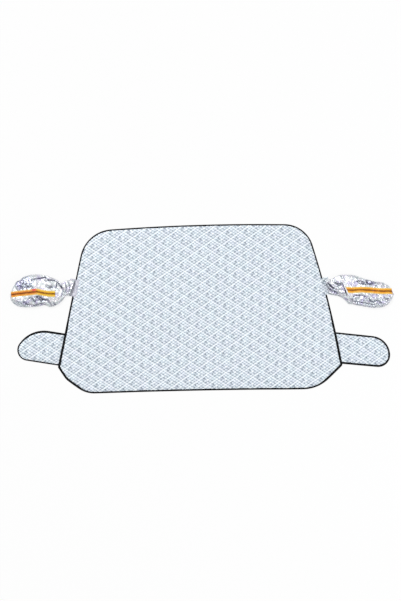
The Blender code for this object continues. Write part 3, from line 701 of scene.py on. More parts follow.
def film_material(lattice):
    """Pale blue silver film, with its pressed seams painted bright as highlights, painted shade and highlights of the
    pillow in every diamond, and embossed beads painted light and dark.
    """
    graph = Graph("quilted_film", 0.45, 0.12)
    basis = np.linalg.inv(np.column_stack([lattice.fall, lattice.rise]))
    shift = basis @ lattice.crossing
    across = graph.math("SUBTRACT", graph.dot(graph.place, (*basis[0], 0.0)), shift[0])
    along = graph.math("SUBTRACT", graph.dot(graph.place, (*basis[1], 0.0)), shift[1])
    fall = graph.node("VectorMath", (*lattice.fall, 0.0), operation="SCALE")
    graph.feed(fall.inputs["Scale"], graph.math("FRACT", across))
    rise = graph.node("VectorMath", (*lattice.rise, 0.0), operation="SCALE")
    graph.feed(rise.inputs["Scale"], graph.math("FRACT", along))
    inside = graph.node("VectorMath", fall.outputs[0], rise.outputs[0], operation="ADD").outputs[0]
    # The seams are painted bright as highlights along their ridges, and also bumped
    value = graph.math("MULTIPLY_ADD", graph.band(across, 0.0, 0.075), 0.34, 0.475)
    value = graph.math("MULTIPLY_ADD", graph.band(along, 0.0, 0.075), 0.25, value)
    # Painted shade and highlights of each pillow, also used as bump
    for share_across, share_along, radius, tone in PILLOW_LIGHT_AND_SHADE:
        middle = lattice.fall * share_across + lattice.rise * share_along
        away = graph.node("VectorMath", inside, (*middle, 0.0), operation="DISTANCE").outputs["Value"]
        painted_pillow_spot = graph.node("MapRange", away, interpolation_type="SMOOTHSTEP")
        painted_pillow_spot.inputs["From Max"].default_value = radius
        painted_pillow_spot.inputs["To Min"].default_value = PILLOW_SHADING_STRENGTH * tone
        painted_pillow_spot.inputs["To Max"].default_value = 0.0
        value = graph.math("ADD", value, painted_pillow_spot.outputs["Result"])
    grid = graph.node("CombineXYZ", across, along, 0.0)
    # Embossed beads, bumped, and painted light and dark as their highlights and shade
    beads = graph.cells(BEADS_ACROSS, vector=grid.outputs[0], randomness=0.16)
    value = graph.math("MULTIPLY_ADD", graph.math("SUBTRACT", 0.40, beads), 1.55, value)
    for scale, strength in ((230.0, 1.40), (5.0, 0.04)):
        spread = graph.math("SUBTRACT", graph.noise(scale, 2.0, 0.6), 0.5)
        value = graph.math("MULTIPLY_ADD", spread, strength, value)
    colour = graph.steps(
        value,
        (0.0, (0.27, 0.31, 0.36)),
        (0.35, (0.56, 0.63, 0.70)),
        (0.62, (0.78, 0.86, 0.94)),
        (1.0, (0.98, 1.0, 1.0)),
    )
    tint = graph.steps(
        graph.noise(24.0, 1.0),
        (0.35, (0.985, 0.975, 1.0)),
        (0.5, (1.0, 1.0, 1.0)),
        (0.65, (0.975, 1.0, 1.0)),
    )
    graph.colour(graph.mix(1.0, colour, tint, "MULTIPLY"))
    graph.bump(value, 0.0008, 0.5)
    graph.bump(graph.noise(900.0, 2.0), 0.0002, 0.4)
    return graph.material


def lining_material():
    """Plain pale grey felted lining with small pressed dots."""
    graph = Graph("felt_lining", 0.95)
    dots = graph.cells(330.0, randomness=0.0)
    fibre = graph.noise(700.0, 4.0, 0.7, distortion=1.5)
    colour = graph.steps(fibre, (0.3, (0.50, 0.51, 0.53)), (0.7, (0.66, 0.67, 0.69)))
    graph.colour(graph.mix(0.35, colour, graph.steps(dots, (0.1, (0.40, 0.41, 0.43)), (0.3, (0.62, 0.63, 0.65)))))
    graph.bump(fibre, 0.0004, 0.6)
    graph.bump(dots, 0.0005, 0.4)
    return graph.material


def binding_material():
    """Black woven tape."""
    graph = Graph("binding_tape", 0.82)
    graph.shader.inputs["Specular IOR Level"].default_value = 0.15
    weave = graph.node("TexWave", graph.place, wave_type="BANDS", bands_direction="DIAGONAL")
    weave.inputs["Scale"].default_value = 420.0
    weave.inputs["Distortion"].default_value = 1.2
    colour = graph.steps(weave.outputs["Fac"], (0.2, (0.002, 0.002, 0.002)), (0.8, (0.007, 0.007, 0.008)))
    graph.colour(colour)
    graph.bump(weave.outputs["Fac"], 0.0003, 0.6)
    graph.bump(graph.noise(1500.0, 2.0), 0.0002, 0.4)
    return graph.material


def thread_material(name, colour):
    """Twisted sewing thread."""
    graph = Graph(name, 0.6)
    twist = graph.noise(3000.0, 1.0)
    dark = tuple(part * 0.7 for part in colour)
    graph.colour(graph.steps(twist, (0.35, dark), (0.65, colour)))
    graph.bump(twist, 0.0001, 0.5)
    return graph.material


def tab_material():
    """Pale silver cloth of the tabs, with its weave."""
    graph = Graph("tab_cloth", 0.5, 0.1)
    weave = graph.node("TexChecker", graph.place)
    weave.inputs["Scale"].default_value = 900.0
    cloud = graph.noise(60.0, 4.0)
    colour = graph.steps(cloud, (0.3, (0.60, 0.60, 0.68)), (0.7, (0.88, 0.88, 0.94)))
    flecks = graph.steps(graph.noise(170.0, 3.0), (0.42, (0.62, 0.62, 0.70)), (0.56, (1.0, 1.0, 1.0)))
    colour = graph.mix(0.8, colour, flecks, "MULTIPLY")
    graph.colour(graph.mix(0.12, colour, weave.outputs["Color"], "MULTIPLY"))
    graph.bump(weave.outputs["Fac"], 0.0002, 0.4)
    graph.bump(cloud, 0.0015, 0.5)
    return graph.material


def foil_material(name, level, contrast):
    """Crinkled silver foil cloth: near white, with blue and violet tints, painted light and shade on its facets, and
    painted grey shade in its folds, on its turned-down sides and where it is densely crinkled.
    """
    graph = Graph(name, 0.34, 0.58)
    warp = graph.node("TexNoise", graph.place)
    warp.inputs["Scale"].default_value = 18.0
    bent = graph.node("VectorMath", warp.outputs["Color"], (0.035, 0.035, 0.035), operation="MULTIPLY")
    place = graph.node("VectorMath", graph.place, bent.outputs[0], operation="ADD").outputs[0]
    broad = graph.cells(38.0, vector=place)
    fine = graph.cells(150.0, vector=place)
    grain = graph.noise(380.0, 3.0, 0.65)
    folds = graph.node("Attribute", attribute_name="folds").outputs["Fac"]
    crinkle_shade = graph.node("Attribute", attribute_name="crinkle_shade").outputs["Fac"]
    # The facets are painted light and dark, as the highlights and shade of the crinkles
    facets = graph.math("SUBTRACT", fine, 0.42)
    tone = graph.math("MULTIPLY_ADD", facets, -contrast, level)
    tone = graph.math("MULTIPLY_ADD", graph.math("SUBTRACT", grain, 0.5), contrast, tone)
    # Painted crinkle shade: darker facets and a darker tone where the cloth is densely crinkled
    tone = graph.math("MULTIPLY_ADD", graph.math("MULTIPLY", crinkle_shade, facets), -1.1, tone)
    tone = graph.math("MULTIPLY_ADD", crinkle_shade, -0.20, tone)
    # Painted shade along the creases and on the sides that turn down
    tone = graph.math("SUBTRACT", tone, folds)
    colour = graph.steps(
        tone,
        (0.0, (0.035, 0.035, 0.050)),
        (0.25, (0.19, 0.19, 0.25)),
        (0.55, (0.60, 0.60, 0.67)),
        (0.85, (0.97, 0.97, 0.98)),
    )
    tint = graph.steps(
        graph.noise(34.0, 2.0),
        (0.36, (0.84, 0.80, 1.0)),
        (0.46, (1.0, 1.0, 1.0)),
        (0.55, (0.88, 0.98, 0.96)),
        (0.64, (1.0, 0.96, 0.99)),
    )
    shaded = graph.mix(0.9, colour, tint, "MULTIPLY")
    # The painted crinkle shade also makes the colour darker and bluer
    graph.colour(graph.mix(graph.math("MULTIPLY", crinkle_shade, 0.8), shaded, (0.80, 0.86, 0.96), "MULTIPLY"))
    graph.bump(broad, 0.004, 0.6)
    graph.bump(fine, 0.0018, 0.7)
    graph.bump(grain, 0.0004, 0.5)
    return graph.material


def elastic_material():
    graph = Graph("elastic", 0.85)
    ribs = graph.noise(900.0, 2.0)
    graph.colour(graph.steps(ribs, (0.35, (0.60, 0.60, 0.62)), (0.65, (0.82, 0.82, 0.83))))
    graph.bump(ribs, 0.0004, 0.6)
    return graph.material


def reflector_material(name, inner, outer, fold, spot):
    """Orange reflective tape: pale edges, a brown line along its middle and a fine grain."""
    graph = Graph(name, 0.45)
    graph.shader.inputs["Specular IOR Level"].default_value = 0.25
    where = graph.node("SeparateXYZ", graph.node("UVMap").outputs["UV"])
    side = graph.math("ABSOLUTE", graph.math("SUBTRACT", where.outputs["Y"], 0.5))
    bend = graph.math("SUBTRACT", graph.noise(60.0, 2.0), 0.5)
    side = graph.math("MULTIPLY_ADD", bend, 0.16, side)
    past = graph.node("MapRange", where.outputs["X"], interpolation_type="SMOOTHSTEP")
    past.inputs["From Min"].default_value = fold - 0.2
    past.inputs["From Max"].default_value = fold + 0.2
    body = graph.mix(past.outputs["Result"], outer, inner)
    patch = graph.steps(graph.noise(42.0, 3.0), (0.40, (1.0, 1.0, 1.0)), (0.62, (1.0, 0.74, 0.70)))
    body = graph.mix(0.7, body, patch, "MULTIPLY")
    rim = graph.steps(side, (0.26, (0.0, 0.0, 0.0)), (0.47, (0.85, 0.85, 0.85)))
    body = graph.mix(rim, body, (1.0, 0.80, 0.28))
    line = graph.steps(side, (0.02, (1.0, 1.0, 1.0)), (0.09, (0.70, 0.70, 0.70)), (0.20, (0.0, 0.0, 0.0)))
    body = graph.mix(line, body, (0.20, 0.045, 0.002))
    # Painted red shade of a fold in the tape, round the spot
    if spot:
        along = graph.math("MULTIPLY", graph.math("SUBTRACT", where.outputs["X"], spot[0]), 2.2)
        across = graph.math("MULTIPLY", graph.math("SUBTRACT", where.outputs["Y"], spot[1]), 4.0)
        gap = graph.math("ADD", graph.math("MULTIPLY", along, along), graph.math("MULTIPLY", across, across))
        fold_shade_spot = graph.steps(gap, (0.25, (0.9, 0.9, 0.9)), (1.0, (0.0, 0.0, 0.0)))
        body = graph.mix(fold_shade_spot, body, (0.88, 0.07, 0.09))
    grain = graph.noise(260.0, 2.0)
    speck = graph.steps(grain, (0.35, (0.70, 0.70, 0.70)), (0.6, (1.0, 1.0, 1.0)))
    graph.colour(graph.mix(0.5, body, speck, "MULTIPLY"))
    graph.bump(grain, 0.0004, 0.4)
    graph.bump(graph.noise(45.0, 3.0), 0.002, 0.4)
    return graph.material


# Mirror covers laid on the floor, as the photograph shows their edges from above


def along_line(line, share):
    """The place at a share of the length of an open flat line."""
    points = np.array(line)
    steps = np.hypot(*np.diff(points, axis=0).T)
    along = np.concatenate([[0.0], np.cumsum(steps)])
    wanted = share * along[-1]
    return np.array([np.interp(wanted, along, points[:, axis]) for axis in (0, 1)])


def smooth_line(points, step=0.004):
    """An open line that curves through its points."""
    points = np.array(points)
    lengths = np.hypot(*np.diff(points, axis=0).T)
    slopes = np.diff(points, axis=0) / lengths[:, None]
    before = np.concatenate([slopes[:1], slopes])
    after = np.concatenate([slopes, slopes[-1:]])
    behind = np.concatenate([lengths[:1], lengths])[:, None]
    ahead = np.concatenate([lengths, lengths[-1:]])[:, None]
    bends = (before * ahead + after * behind) / (behind + ahead)
    line = []
    for index, length in enumerate(lengths):
        steps = math.ceil(length / step)
        for number in range(steps):
            t = number / steps
            place = (2 * t**3 - 3 * t**2 + 1) * points[index]
            place = place + (t**3 - 2 * t**2 + t) * length * bends[index]
            place = place + (3 * t**2 - 2 * t**3) * points[index + 1]
            place = place + (t**3 - t**2) * length * bends[index + 1]
            line.append(tuple(place))
    return line + [tuple(points[-1])]


def cut_line(line, place):
    """An open line in two parts, parted at its corner nearest to a place."""
    points = np.array(line)
    index = int(np.hypot(*(points - np.array(place)).T).argmin())
    return line[: index + 1], line[index:]


def section_grid(upper, lower, heights, bases, rows, around, gather):
    """Rows of points round a hollow cover that lies on the floor between two edges."""
    grid = np.zeros((rows + 1, around, 3))
    turns = np.arange(around) * 2.0 * math.pi / around
    cosine = np.cos(turns)
    sine = np.sin(turns)
    across = np.sign(cosine) * np.abs(cosine) ** 0.85
    for row in range(rows + 1):
        share = row / rows
        top = along_line(upper, share)
        bottom = along_line(lower, share)
        height = heights(share)
        middle = 0.42 * height
        lift = np.where(
            sine >= 0.0,
            middle + (height - middle) * np.abs(sine) ** 0.9,
            middle - middle * np.abs(sine) ** 0.35,
        )
        pull, depth = gather(share, turns)
        spread = across * (1.0 - pull)
        centre = (top + bottom) / 2.0
        half = (top - bottom) / 2.0
        grid[row, :, 0] = centre[0] + half[0] * spread
        grid[row, :, 1] = centre[1] + half[1] * spread
        grid[row, :, 2] = bases(share) + np.maximum(lift - depth * np.maximum(sine, 0.0), 0.0)
    return grid


def crumpled(points, seed, reach, depth, folds):
    """A height over the points made of flat facets between sharp wandering folds."""
    random = np.random.default_rng(seed)
    total = np.zeros(len(points))
    for _ in range(folds):
        direction = random.normal(size=3)
        direction /= np.linalg.norm(direction)
        bend = random.normal(size=3)
        bend /= np.linalg.norm(bend)
        length = reach * random.uniform(0.6, 1.7)
        phase = random.uniform(size=3)
        warp = 0.25 * np.sin(points @ bend / length * 2.1 + 6.28 * phase[0])
        wave = points @ direction / length + warp + phase[1]
        facet = np.abs(2.0 * (wave - np.floor(wave)) - 1.0) - 0.5
        swell = 0.5 + 0.5 * np.sin(points @ bend / length * 1.3 + 6.28 * phase[2])
        total += facet * swell * length / reach
    return depth * total / math.sqrt(folds)


def ring_line(middle, radius):
    """A closed round line from above."""
    turns = [2.0 * math.pi * step / 12 for step in range(13)]
    return [(middle[0] + radius * math.cos(t), middle[1] + radius * math.sin(t)) for t in turns]


def line_distance(points, line):
    """Each point's distance in plan from an open line, and its share along it."""
    nearest = np.full(len(points), np.inf)
    share = np.zeros(len(points))
    line = np.array(line)
    for index, (start, end) in enumerate(zip(line[:-1], line[1:])):
        along = end - start
        place = np.clip(((points[:, :2] - start) @ along) / (along @ along), 0.0, 1.0)
        gap = np.hypot(*(points[:, :2] - start - place[:, None] * along).T)
        closer = gap < nearest
        nearest = np.where(closer, gap, nearest)
        share = np.where(closer, (index + place) / (len(line) - 1), share)
    return nearest, share


def grid_normals(grid, closed_tip):
    """Outward directions at the points of a tube's grid."""
    ahead = np.gradient(grid, axis=0)
    around = np.roll(grid, -1, 1) - np.roll(grid, 1, 1)
    normal = np.cross(ahead, around)
    normal /= np.maximum(np.linalg.norm(normal, axis=2), 1e-9)[:, :, None]
    centre = grid.mean(1)[:, None, :]
    outwards = ((grid - centre) * normal).sum(2).mean() > 0.0
    return normal if outwards else -normal


def tube_object(name, grid, pole, materials, folds, crinkle_shade=()):
    """A tube's mesh with the shade painted in its folds and on its turned-down sides as an attribute for the cloth's
    colour, and the shade painted where it is densely crinkled as another.
    """
    rows, around, _ = grid.shape
    verts = grid.reshape(-1, 3)
    faces = []
    for row in range(rows - 1):
        for step in range(around):
            following = (step + 1) % around
            a = row * around
            faces.append((a + step, a + following, a + around + following, a + around + step))
    painted_shades = folds.reshape(-1)
    if pole is not None:
        verts = np.concatenate([verts, [pole]])
        painted_shades = np.concatenate([painted_shades, [0.0]])
        last = (rows - 1) * around
        for step in range(around):
            faces.append((last + step, last + (step + 1) % around, len(verts) - 1))
    obj = new_object(name, verts, faces, materials)
    crinkle_shade_amount = np.zeros(len(verts))
    for middle, reach, amount in crinkle_shade:
        offset = (np.asarray(verts)[:, :2] - middle) / reach
        crinkle_shade_amount = np.maximum(crinkle_shade_amount, amount * np.exp(-((offset**2).sum(1) ** 2)))
    for label, values in (("folds", painted_shades), ("crinkle_shade", crinkle_shade_amount)):
        attribute = obj.data.attributes.new(label, "FLOAT", "POINT")
        attribute.data.foreach_set("value", values.astype(np.float32))
    solid = bmesh.new()
    solid.from_mesh(obj.data)
    bmesh.ops.recalc_face_normals(solid, faces=solid.faces)
    highest = max(solid.faces, key=lambda face: face.calc_center_median().z)
    if highest.normal.z < 0.0:
        bmesh.ops.reverse_faces(solid, faces=solid.faces)
    solid.to_mesh(obj.data)
    solid.free()
    return obj


def walled(obj, thickness):
    """Gives a cloth its thickness, inwards."""
    modifier = obj.modifiers.new("Wall", "SOLIDIFY")
    modifier.thickness = thickness
    modifier.offset = -1.0


def creased(grid, normals, creases):
    """Presses valleys along the creases into the top of a tube, and works out the shade painted along each crease and
    on the sides that turn down.
    """
    points = grid.reshape(-1, 3)
    normal = normals.reshape(-1, 3)
    facing = np.clip(normal[:, 2] * 1.6, 0.0, 1.0)
    press = np.zeros(len(points))
    shade = np.zeros(len(points))
    for line, width, depth, dark in creases:
        gap, share = line_distance(points, line)
        ends = np.sin(np.pi * np.clip(0.06 + 0.88 * share, 0.0, 1.0)) ** 0.5
        valley = np.exp(-((gap / width) ** 2))
        lip = np.exp(-(((gap - 2.2 * width) / width) ** 2))
        press += depth * ends * (valley - 0.35 * lip)
        # Painted shade along each crease
        shade = np.maximum(shade, dark * ends * np.exp(-((gap / (0.85 * width)) ** 2)))
    points = points - normal * (press * facing)[:, None]
    points[:, 2] = np.maximum(points[:, 2], CLOTH_THICKNESS)
    # Painted shade on the sides that turn down from the top
    edge = EDGE_SHADE * smooth_step((0.38 - normal[:, 2]) / 0.3)
    shade = np.maximum(shade * facing, edge)
    return points.reshape(grid.shape), shade.reshape(grid.shape[:2])


def dropped_strip(name, line, width, ground, material, ends_slant=(0.0, 0.0)):
    """A strip of tape laid from above along a line on a cover, with its middle at 0.5 across."""
    points = np.array(line)
    steps = np.hypot(*np.diff(points, axis=0).T)
    along = np.concatenate([[0.0], np.cumsum(steps)])
    rows = int(along[-1] / 0.0022)
    columns = 14
    verts = []
    shares = []
    for row in range(rows + 1):
        wanted = along[-1] * row / rows
        place = np.array([np.interp(wanted, along, points[:, axis]) for axis in (0, 1)])
        ahead = [np.interp(wanted + 0.004, along, points[:, axis]) for axis in (0, 1)]
        behind = [np.interp(wanted - 0.004, along, points[:, axis]) for axis in (0, 1)]
        run = np.array(ahead) - np.array(behind)
        run /= np.hypot(*run)
        side = np.array([-run[1], run[0]])
        if side[1] < 0.0:
            side = -side
        slant = ends_slant[0] * (1.0 - row / rows) + ends_slant[1] * row / rows
        for column in range(columns + 1):
            offset = (column / columns - 0.5) * width
            spot = place + side * offset + run * offset * slant
            hit = ground.ray_cast(Vector((spot[0], spot[1], 0.3)), Vector((0.0, 0.0, -1.0)))[0]
            if hit is None:
                hit = ground.find_nearest(Vector((spot[0], spot[1], 0.02)))[0]
            verts.append((spot[0], spot[1], hit.z + 0.0003))
            shares.append((wanted / width, column / columns))
    faces = []
    for row in range(rows):
        for column in range(columns):
            a = row * (columns + 1) + column
            faces.append((a, a + 1, a + columns + 2, a + columns + 1))
    obj = new_object(name, verts, faces, [material])
    layer = obj.data.uv_layers.new(name="across")
    for loop in obj.data.loops:
        layer.data[loop.index].uv = shares[loop.vertex_index]
    if obj.data.polygons[0].normal.z < 0.0:
        obj.data.flip_normals()
    modifier = obj.modifiers.new("Wall", "SOLIDIFY")
    modifier.thickness = 0.0004
    modifier.offset = 1.0
    return obj


def ground_of(*objects):
    """A tree of faces to drop things on, from the shown shape of some objects."""
    depsgraph = bpy.context.evaluated_depsgraph_get()
    whole = bmesh.new()
    for obj in objects:
        whole.from_mesh(obj.evaluated_get(depsgraph).to_mesh())
    tree = BVHTree.FromBMesh(whole)
    whole.free()
    return tree


# Edges of the covers from above, from the panel out to the tip

LEFT_UPPER = [
    (-0.672, 0.151), (-0.700, 0.152), (-0.728, 0.146), (-0.740, 0.137), (-0.766, 0.152),
    (-0.802, 0.168), (-0.855, 0.180), (-0.908, 0.179), (-0.951, 0.163), (-0.963, 0.150),
    (-0.977, 0.146), (-0.995, 0.121), (-1.0165, 0.074),
]
LEFT_LOWER = [
    (-0.7015, 0.070), (-0.718, 0.067), (-0.744, 0.037), (-0.780, 0.014), (-0.802, 0.009),
    (-0.836, 0.019), (-0.856, 0.014), (-0.930, 0.008), (-0.977, 0.014), (-1.009, 0.044),
    (-1.0165, 0.072),
]
RIGHT_UPPER = [
    (0.649, 0.157), (0.687, 0.159), (0.713, 0.173), (0.735, 0.179), (0.766, 0.180),
    (0.814, 0.174), (0.846, 0.164), (0.920, 0.143), (0.947, 0.141), (0.968, 0.132),
    (1.000, 0.109), (1.0165, 0.080),
]
RIGHT_LOWER = [
    (0.675, 0.075), (0.735, 0.061), (0.761, 0.041), (0.776, 0.026), (0.795, 0.0235),
    (0.872, 0.009), (0.920, 0.004), (0.978, 0.020), (1.010, 0.057), (1.0165, 0.076),
]
LEFT_TAPE = [
    (-1.0085, 0.0744), (-0.970, 0.0792), (-0.905, 0.087), (-0.871, 0.0905), (-0.850, 0.086),
    (-0.811, 0.0792), (-0.775, 0.0790),
]
RIGHT_TAPE = [
    (0.765, 0.100), (0.790, 0.098), (0.819, 0.1000), (0.841, 0.1010), (0.904, 0.0970),
    (0.947, 0.0930), (0.989, 0.0935), (1.0065, 0.0925),
]
TAPE_WIDTH = 0.0320
CLOTH_THICKNESS = 0.0006

# Creases from above, each with its width, depth and the darkness of the shade painted along it
LEFT_CREASES = [
    ([(-0.900, 0.153), (-0.874, 0.158), (-0.845, 0.164), (-0.825, 0.168), (-0.808, 0.152),
      (-0.788, 0.152), (-0.771, 0.148)], 0.0040, 0.0060, 0.75),
    ([(-0.834, 0.156), (-0.819, 0.143), (-0.806, 0.151)], 0.0030, 0.0040, 0.55),
    ([(-0.765, 0.145), (-0.747, 0.122), (-0.733, 0.104)], 0.0038, 0.0060, 0.80),
    ([(-0.763, 0.142), (-0.769, 0.124), (-0.767, 0.105)], 0.0035, 0.0045, 0.45),
    ([(-0.824, 0.121), (-0.802, 0.113), (-0.771, 0.118)], 0.0060, 0.0045, 0.45),
    ([(-0.962, 0.126), (-0.950, 0.113), (-0.938, 0.100)], 0.0035, 0.0045, 0.55),
    ([(-0.934, 0.120), (-0.915, 0.112), (-0.900, 0.106)], 0.0070, 0.0045, 0.45),
    ([(-0.906, 0.123), (-0.896, 0.112), (-0.885, 0.104)], 0.0045, 0.0045, 0.55),
    ([(-0.877, 0.060), (-0.860, 0.067), (-0.840, 0.047), (-0.816, 0.045), (-0.794, 0.016)],
     0.0045, 0.0055, 0.65),
    ([(-0.866, 0.058), (-0.852, 0.046), (-0.838, 0.036)], 0.0050, 0.0040, 0.45),
    ([(-0.910, 0.060), (-0.891, 0.044), (-0.875, 0.025)], 0.0040, 0.0045, 0.50),
    ([(-0.942, 0.037), (-0.920, 0.020), (-0.885, 0.015), (-0.851, 0.026), (-0.828, 0.022)],
     0.0040, 0.0040, 0.60),
    ([(-0.789, 0.034), (-0.772, 0.017)], 0.0040, 0.0045, 0.55),
    ([(-0.722, 0.138), (-0.716, 0.110), (-0.723, 0.082)], 0.0030, 0.0045, 0.55),
    ([(-0.709, 0.146), (-0.697, 0.116), (-0.703, 0.080)], 0.0026, 0.0040, 0.50),
    ([(-0.745, 0.120), (-0.733, 0.096), (-0.738, 0.070)], 0.0035, 0.0035, 0.30),
    (ring_line((-0.737, 0.0745), 0.0052), 0.0020, 0.0020, 0.50),
]
RIGHT_CREASES = [
    ([(0.664, 0.138), (0.684, 0.118), (0.703, 0.100)], 0.0036, 0.0055, 0.75),
    ([(0.655, 0.136), (0.664, 0.120), (0.672, 0.104)], 0.0030, 0.0040, 0.55),
    ([(0.665, 0.116), (0.680, 0.100), (0.692, 0.084)], 0.0034, 0.0050, 0.65),
    ([(0.690, 0.096), (0.705, 0.088), (0.722, 0.078)], 0.0036, 0.0045, 0.55),
    ([(0.700, 0.140), (0.716, 0.130), (0.733, 0.133)], 0.0045, 0.0050, 0.55),
    ([(0.712, 0.116), (0.724, 0.122), (0.738, 0.140)], 0.0036, 0.0040, 0.45),
    ([(0.742, 0.136), (0.753, 0.108), (0.765, 0.072)], 0.0026, 0.0045, 0.80),
    ([(0.794, 0.058), (0.808, 0.068), (0.846, 0.070), (0.866, 0.060)], 0.0032, 0.0040, 0.55),
    ([(0.812, 0.140), (0.838, 0.150), (0.860, 0.138), (0.884, 0.142)], 0.0038, 0.0045, 0.50),
    ([(0.836, 0.134), (0.868, 0.130), (0.896, 0.136), (0.922, 0.124)], 0.0036, 0.0045, 0.50),
    ([(0.866, 0.150), (0.886, 0.130), (0.908, 0.128)], 0.0034, 0.0040, 0.45),
    ([(0.880, 0.050), (0.900, 0.036), (0.930, 0.042), (0.948, 0.028)], 0.0036, 0.0040, 0.40),
    ([(0.800, 0.038), (0.850, 0.030), (0.905, 0.020)], 0.0034, 0.0035, 0.40),
    ([(0.955, 0.062), (0.975, 0.050), (0.990, 0.056)], 0.0034, 0.0035, 0.35),
]
# Darkness of the shade painted on the covers' sides where they turn down from the top
EDGE_SHADE = 0.44

# Where the cloth is densely crinkled and painted darker with crinkle shade: middle, reach each way and amount
LEFT_CRINKLE_SHADE = [
    ((-0.945, 0.138), (0.056, 0.038), 0.80),
    ((-0.860, 0.052), (0.050, 0.018), 0.50),
    ((-0.955, 0.032), (0.040, 0.018), 0.45),
]
RIGHT_CRINKLE_SHADE = [
    ((0.880, 0.142), (0.065, 0.018), 0.42),
    ((0.890, 0.045), (0.110, 0.036), 0.30),
    ((0.705, 0.112), (0.040, 0.040), 0.15),
]


def no_gather(share, turns):
    return np.zeros(len(turns)), np.zeros(len(turns))


def cuff_gather(share, turns):
    """Uneven pleats, deep at the elastic and gone at the seam."""
    wave = np.cos(9.0 * turns + 0.8 * np.sin(2.0 * turns) + 0.6)
    wave += 0.5 * np.cos(17.0 * turns + 1.1 + 2.0 * share)
    depth = 0.0030 * (1.0 - smooth_step((share - 0.35) / 0.65)) + 0.0003
    pleat = np.clip(0.5 + 0.4 * wave, 0.0, 1.0) * depth
    return pleat / 0.045, pleat


def ends_edge(line, slant):
    """A short line across the inner end of a tape, a little wider than the tape."""
    ends = [np.array(line[0]), np.array(line[-1])]
    inner = min(ends, key=lambda end: abs(end[0]))
    outer = max(ends, key=lambda end: abs(end[0]))
    out = (outer - inner) / np.hypot(*(outer - inner))
    middle = inner - out * 0.0028
    rise = np.array([slant, 1.0])
    return [tuple(middle + rise * share) for share in (0.022, 0.0, -0.030)]


def cuff_grid_shrunk(upper, lower, heights, bases):
    """Rows of points for the elastic band inside the cuff, near its mouth."""
    rows = 4
    around = 120
    start, end, inset = 0.08, 0.17, 0.0042
    top_line = []
    bottom_line = []
    for row in range(rows + 1):
        share = start + (end - start) * row / rows
        top = along_line(upper, share)
        bottom = along_line(lower, share)
        run = (top - bottom) / np.hypot(*(top - bottom))
        top_line.append(tuple(top - run * inset))
        bottom_line.append(tuple(bottom + run * inset))
    turns = np.arange(around) * 2.0 * math.pi / around

    def inner_height(share):
        return heights(start) - 2.0 * inset

    def inner_base(share):
        return bases(0.0) + 0.0018

    def ribs(share, turns):
        return 0.004 * np.cos(40.0 * turns), 0.0002 * np.cos(40.0 * turns)

    return section_grid(top_line, bottom_line, inner_height, inner_base, rows, around, ribs)


